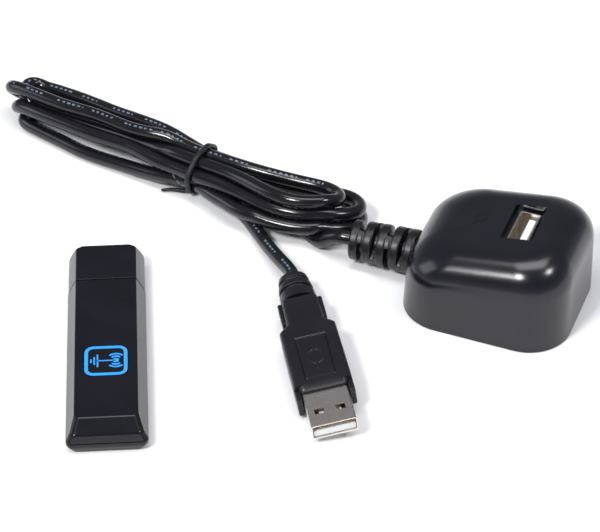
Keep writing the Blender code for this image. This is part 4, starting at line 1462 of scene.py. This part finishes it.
    def cord(self) -> tuple[bpy.types.Object, Points]:
        """The cord from the strain relief's tip to the plug's boot, and the path that it follows.

        Returns:
            The cord and its middle line.
        """
        marks = self.marks()
        rough = self.evenly(self.curve(marks, 24), self.spacing)
        settled = np.column_stack([self.relaxed(rough[:, :3]), rough[:, 3]])
        fine = self.evenly(self.curve(settled, 4), 0.8)
        made = thing("cord", self.tube(fine[:, :3], smooth_step(fine[:, 3], 0.0, 1.0)))
        settle(made, 50.0, False)
        place(made, CORD, Body.CRADLE, "cord_to_cradle", "cord_hank", "cord_to_plug")
        return made, fine[:, :3]

    def tie(self, path: Points) -> list[bpy.types.Object]:
        """Round rubber ring pulled tight about the passes, leaning a little, and its short tail that lies
        under them.

        In each direction u the ring's line is at the pass that reaches furthest along u, moved out along
        u by the cord's radius and the ring's own. The points are then spread evenly and smoothed.

        Args:
            path: the cord's middle line.

        Returns:
            The ring and the tail.
        """
        own = self.stand.back(path)
        passes = own[np.abs(own[:, 0]) < 0.45][:, 1:]
        turns = np.linspace(0.0, 2 * math.pi, 721)[:-1]
        toward = np.column_stack([np.cos(turns), np.sin(turns)])
        furthest = passes[np.argmax(passes @ toward.T, axis=0)]
        hull = furthest + (self.diameter / 2 + self.tie_round + 0.04) * toward
        hull = self.evenly(np.column_stack([hull, np.zeros(len(hull))])[np.r_[:720, 0]], 0.4)[:-1, :2]
        for _ in range(3):
            hull = (np.roll(hull, 1, axis=0) + 2 * hull + np.roll(hull, -1, axis=0)) / 4
        line = np.column_stack([0.1 * (hull[:, 1] - hull[:, 1].mean()), hull])
        along = unit(np.roll(line, -1, axis=0) - np.roll(line, 1, axis=0))
        sideways = np.array([1.0, 0.0, 0.0])
        first = unit(sideways - along[:, :1] * along)
        second = np.cross(along, first)
        rounds = np.linspace(0.0, 2 * math.pi, 17)[:-1]
        rings = line[:, None] + self.tie_round * (1.15 * np.cos(rounds)[None, :, None] * first[:, None]
                                                  + np.sin(rounds)[None, :, None] * second[:, None])
        ring = thing("tie_ring", loft("tie_ring", self.stand.out(rings), True))
        settle(ring, 50.0, False)
        place(ring, TIE_BLACK, Body.CRADLE, "cord_tie")
        marks = np.array([(-0.5, -3.0, 1.15), (-3.5, -4.6, 1.0), (-6.6, -5.6, 0.95), (-9.2, -7.4, 0.9)])
        route = self.curve(marks, 8)
        along = unit(np.gradient(route, axis=0))
        side = unit(np.cross(along, np.array([0.0, 0.0, 1.0])))
        up = np.cross(side, along)
        taper = np.linspace(1.0, 0.4, len(route))[:, None, None]
        rings = route[:, None] + taper * (1.0 * np.cos(rounds)[None, :, None] * side[:, None]
                                          + 0.75 * np.sin(rounds)[None, :, None] * up[:, None])
        tail = thing("tie_tail", loft("tie_tail", self.stand.out(rings)))
        settle(tail, 50.0, False)
        place(tail, TIE_BLACK, Body.CRADLE, "cord_tie")
        return [ring, tail]

    def build(self) -> None:
        """Cord and tie, and a list of the pieces that hang on the cord."""
        made, path = self.cord()
        pieces = self.tie(path) + self.plug.pieces


@dataclass
class LeadPlug:
    """The lead's USB plug. Its stand is at the cord's entry and its mouth looks along -Y."""

    stand: Stand = field(default_factory=lambda: Stand((50.9, 22.4, 5.1), math.radians(6.8),
                                                       math.radians(-8.0)))
    boot_length: float = 10.8
    length: float = 34.8
    neck: float = 10.4
    wide: float = 15.6
    high: float = 7.8
    shoulder: tuple[float, float] = (10.7, 13.0)
    collar: float = 1.7
    cheek: float = 4.1
    shell: tuple[float, float] = (12.0, 4.5)
    panel: tuple[float, float, float] = (16.9, 33.2, 4.3)
    pieces: list[bpy.types.Object] = field(default_factory=list)

    def boot(self) -> None:
        """Ringed boot round the cord: a profile with rounded edges turned into an oval, flatter upright."""
        line = np.array([(0.0, 2.15), (0.0, 3.2), (0.6, 4.0), (2.5, 4.3), (2.6, 3.6), (3.6, 3.6), (3.7, 4.55),
                         (5.9, 4.8), (6.0, 3.8), (7.0, 3.8), (7.1, 4.9), (10.8, 5.1)])
        smooth_line = rounded(line, 0.3, 5, False)
        turns = np.linspace(0.0, 2 * math.pi, 73)[:-1]
        radius = smooth_line[:, 1:2]
        rings = np.stack([radius * np.cos(turns), np.repeat(-smooth_line[:, :1], 72, axis=1),
                          0.78 * radius * np.sin(turns)], axis=-1)
        made = thing("plug_boot", loft("plug_boot", self.stand.out(rings)))
        settle(made, 50.0, False)
        self.pieces.append(place(made, MATT_BLACK, Body.CRADLE, "lead_plug_boot"))

    def half_sizes(self, way: Points) -> tuple[Points, Points]:
        """Half width and half height along the overmould: a neck, straight shoulders, the body, and the
        collar.

        Args:
            way: distances from the overmould's back.

        Returns:
            Half widths and half heights.
        """
        ridge = self.length
        half = np.interp(way, [0.0, 0.9, *self.shoulder, ridge - 1.0, ridge, ridge + 0.05,
                               ridge + self.collar],
                         np.array([self.neck - 1.6, self.neck - 0.5, self.neck, self.wide - 0.3, self.wide,
                                   self.wide - 0.2, self.wide - 2.6, self.wide - 2.8]) / 2)
        drop = np.clip((way - ridge) / self.collar, 0.0, 1.0)
        height = np.interp(way, [0.0, 0.9, 2.0], np.array([self.high - 1.4, self.high - 0.3, self.high]) / 2)
        return half, height - 1.15 * np.sin(drop * math.pi / 2)

    def body(self) -> bpy.types.Object:
        """Overmould skin as a grid: way along, and way round a rectangle with round edges.

        The top side sinks along the panel's outline, and rises on a ring and a bar, the grip mark, inside
        it.

        Returns:
            The overmould before its lugs and seat.
        """
        start = self.boot_length + GAP
        way = np.unique(np.concatenate([np.linspace(0.0, self.length + self.collar, 190), [0.4, 0.9],
                                        np.linspace(10.4, 13.4, 12),
                                        self.length + np.array([-0.4, 0.0, 0.05])]))
        half, height = (size[:, None] for size in self.half_sizes(way))
        edge = 1.5
        arc = np.linspace(0.0, math.pi / 2, 8)[None, :]
        sign = np.linspace(1.0, -1.0, 84)[None, :]
        short = np.linspace(1.0, -1.0, 10)[None, :]
        xs, zs = [], []
        for up in (1, -1):
            xs += [up * (half - edge) * sign]
            zs += [up * height * np.ones_like(sign)]
            xs += [-up * ((half - edge) + edge * np.sin(arc))]
            zs += [up * ((height - edge) + edge * np.cos(arc))]
            xs += [-up * half * np.ones_like(short)]
            zs += [up * (height - edge) * short]
            xs += [-up * ((half - edge) + edge * np.cos(arc))]
            zs += [-up * ((height - edge) + edge * np.sin(arc))]
        x, z = np.concatenate(xs, axis=1), np.concatenate(zs, axis=1)
        along = np.repeat(way[:, None], x.shape[1], axis=1)
        on_top = (z > height - 0.05).astype(float)
        low, high, across = self.panel
        within = np.minimum(np.minimum(along - low, high - along), across - np.abs(x))
        outline = smooth_step(within, 0.0, 0.22) * (1 - smooth_step(within, 0.3, 0.62))
        middle = (low + high) / 2
        ring = np.hypot(x, (along - middle) * 0.8)
        lines = 1 - smooth_step(np.abs(ring - 2.1), 0.12, 0.34)
        bar = (1 - smooth_step(np.abs(x), 0.12, 0.34)) * (1 - smooth_step(np.abs(along - middle), 4.6, 5.0))
        z = z + on_top * (0.14 * np.maximum(lines, bar) - 0.26 * outline)
        rings = np.stack([x, -start - along, z], axis=-1)
        return thing("plug_grip", loft("plug_grip", self.stand.out(rings)))

    def lug(self, name: str, side: int, inner: float, outer: float, begin: float, end: float,
            low: float, high: float) -> bpy.types.Object:
        """Rounded lug along the overmould: rounded boxes that shrink towards both ends by a quarter circle.

        Args:
            name: the lug's name.
            side: -1 or 1, which side of the plug.
            inner: where it starts across.
            outer: where it ends across.
            begin: where it starts along the plug.
            end: where it ends along the plug.
            low: its bottom.
            high: its top.

        Returns:
            The object to join on.
        """
        t = np.concatenate([np.linspace(0.0, math.pi / 2, 6), np.linspace(math.pi / 2, math.pi, 6)])
        soft = 0.55
        ways = np.where(t <= math.pi / 2, begin + soft * (1 - np.cos(t)), end - soft * (1 + np.cos(t)))
        pulls = soft * (1 - np.sin(t))
        middle = np.array([side * (inner + outer) / 2, (low + high) / 2])
        rings = []
        for way, pull in zip(ways, pulls):
            outline = rounded_box(outer - inner - pull, high - low - 2 * pull, 0.45, 5) + middle
            rings.append(np.column_stack([outline[:, 0], np.full(len(outline), -way), outline[:, 1]]))
        return thing(name, loft(name, self.stand.out(np.stack(rings))))

    def overmould(self) -> None:
        """Body, side wings on the neck, cheeks beside the shell, and the seat for the shell."""
        start = self.boot_length + GAP
        ridge = start + self.length
        made = self.body()
        steps = []
        for side in (-1, 1):
            wing = self.lug(f"wing_{side}", side, 4.2, 6.15, start + 0.2, start + 8.4, -1.6, 2.0)
            cheek = self.lug(f"cheek_{side}", side, self.shell[0] / 2 + 0.17, self.wide / 2 - 0.05,
                             ridge - 2.0, ridge + self.cheek, -3.2, 2.3)
            steps += [("UNION", wing), ("UNION", cheek)]
        low_corner = (-self.shell[0] / 2 - 0.15, -ridge - self.collar - 5.0, -self.shell[1] / 2 - 0.15)
        high_corner = (self.shell[0] / 2 + 0.15, -ridge - self.collar + 6.8, self.shell[1] / 2 + 0.15)
        seat = thing("plug_seat", box_mesh("plug_seat", self.stand, low_corner, high_corner))
        steps.append(("DIFFERENCE", seat))
        carve(made, steps)
        settle(made, 38.0)
        self.pieces.append(place(made, MATT_BLACK, Body.CRADLE, "lead_plug_overmould"))

    def shell_marks(self) -> None:
        """Two small raised dashes on the shell next to the collar."""
        top = self.shell[1] / 2
        back = -(self.boot_length + GAP + self.length + self.collar)

        def level(points: Points) -> Points:
            """The shell's flat top."""
            return np.full(len(points), top)

        dashes = [np.linspace((x - 0.9, back - 1.5), (x + 0.9, back - 1.1), 6) for x in (-1.4, 1.4)]
        marks = [strip("shell_dash", self.stand, dash, 0.3, level, 0.05) for dash in dashes]
        made = joined("plug_shell_marks", marks)
        settle(made)
        self.pieces.append(place(made, NICKEL, Body.CRADLE))

    def build(self) -> None:
        """Boot, overmould, and the metal and plastic of the plug."""
        self.boot()
        self.overmould()
        self.shell_marks()
        contacts = [f"lead_contact_{number}" for number in range(1, 5)]
        dress(NICKEL, "lead_plug_shell")
        dress(INSULATOR, "lead_plug_insulator")
        dress(GOLD, *contacts)
        metal_and_core = ("lead_plug_shell", "lead_plug_insulator", *contacts)
        self.pieces += [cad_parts[name] for name in metal_and_core]


# ---------------------------------------------------------------- studio


@dataclass
class Studio:
    """Pale floor, soft lights and the camera."""

    target: tuple[float, float, float] = (0.05371, 0.03367, 0.0)
    heading: tuple[float, float] = (0.0652, 0.9979)
    elevation: float = math.radians(40.0)
    distance: float = 0.643
    lens: float = 138.0
    floor_half: float = 3.0

    def camera(self) -> None:
        """Camera that looks along the heading, down at the elevation."""
        made = bpy.data.cameras.new("camera")
        made.lens = self.lens
        made.sensor_width = 36.0
        made.clip_start = 0.01
        holder = bpy.data.objects.new("camera", made)
        bpy.context.scene.collection.objects.link(holder)
        target = Vector(self.target)
        heading = Vector((*self.heading, 0.0))
        back = heading * math.cos(self.elevation) - Vector((0.0, 0.0, math.sin(self.elevation)))
        holder.location = target - back * self.distance
        holder.rotation_euler = back.to_track_quat("-Z", "Y").to_euler()
        bpy.context.scene.camera = holder

    def light(self, name: str, spot: tuple[float, float, float], size: tuple[float, float], watts: float,
              colour: Colour = (1.0, 1.0, 1.0)) -> None:
        """Rectangular softbox that looks at the target.

        Args:
            name: the light's name.
            spot: where it stands, from the target, in metres.
            size: its sides in metres.
            watts: its power.
            colour: its colour.
        """
        lamp = bpy.data.lights.new(name, "AREA")
        lamp.shape = "RECTANGLE"
        lamp.size, lamp.size_y = size
        lamp.energy = watts
        lamp.color = colour
        holder = bpy.data.objects.new(name, lamp)
        bpy.context.scene.collection.objects.link(holder)
        holder.location = Vector(spot) + Vector(self.target)
        holder.rotation_euler = (-Vector(spot)).to_track_quat("-Z", "Y").to_euler()

    def floor(self) -> None:
        """Wide sheet of paper at z = 0."""
        side = self.floor_half / MM
        corners = np.array([(-side, -side, 0.0), (side, -side, 0.0), (side, side, 0.0), (-side, side, 0.0)])
        mesh = bpy.data.meshes.new("studio_floor")
        mesh.from_pydata((corners * MM).tolist(), [], [(0, 1, 2, 3)])
        made = thing("studio_floor", mesh)
        mesh.materials.append(PAPER.material())

    def sky(self) -> None:
        """Soft surroundings: bright near the horizon, dimmer at mid height, and a little cool."""
        world = bpy.data.worlds.new("studio")
        bpy.context.scene.world = world
        world.use_nodes = True
        graph = Graph(world.node_tree)
        direction = graph.node("ShaderNodeTexCoord", output="Generated")
        split = graph.tree.nodes.new("ShaderNodeSeparateXYZ")
        graph.tree.links.new(direction.socket, split.inputs[0])
        x, y, up = (Value(graph, socket) for socket in split.outputs)
        horizon = 1 - graph.ramp(up, 0.02, 0.4)
        front = graph.ramp(0 - y - 0.35 * x, 0.1, 0.9) * graph.ramp(up, 0.15, 0.4)
        strength = 0.24 + 0.3 * horizon - 0.1 * front
        background = world.node_tree.nodes["Background"]
        background.inputs["Color"].default_value = (0.88, 0.9, 1.0, 1.0)
        graph.tree.links.new(strength.socket, background.inputs["Strength"])

    def build(self) -> None:
        """Everything round the object."""
        self.camera()
        self.floor()
        self.sky()
        self.light("overhead", (0.0, 0.0, 1.0), (0.8, 0.4), 4.6)
        self.light("left_front", (-0.42, -0.46, 0.72), (0.2, 0.2), 6.5)
        self.light("right_front", (0.5, -0.34, 0.75), (0.16, 0.16), 2.4)
        self.light("left_side", (-0.9, 0.15, 0.45), (0.5, 0.5), 1.6, (0.93, 0.95, 1.0))
        bpy.context.scene.view_settings.view_transform = "Standard"




def main() -> None:
    """Build the studio and every sub-assembly in order, and report each piece."""
    logging.basicConfig(level=logging.INFO, format="%(name)s: %(message)s")
    Studio().build()
    cradle = Cradle()
    relief = StrainRelief(cradle)
    plug = LeadPlug()
    Stick().build()
    cradle.build()
    relief.build()
    plug.build()
    Lead(relief, plug).build()


if __name__ == "__main__":
    main()
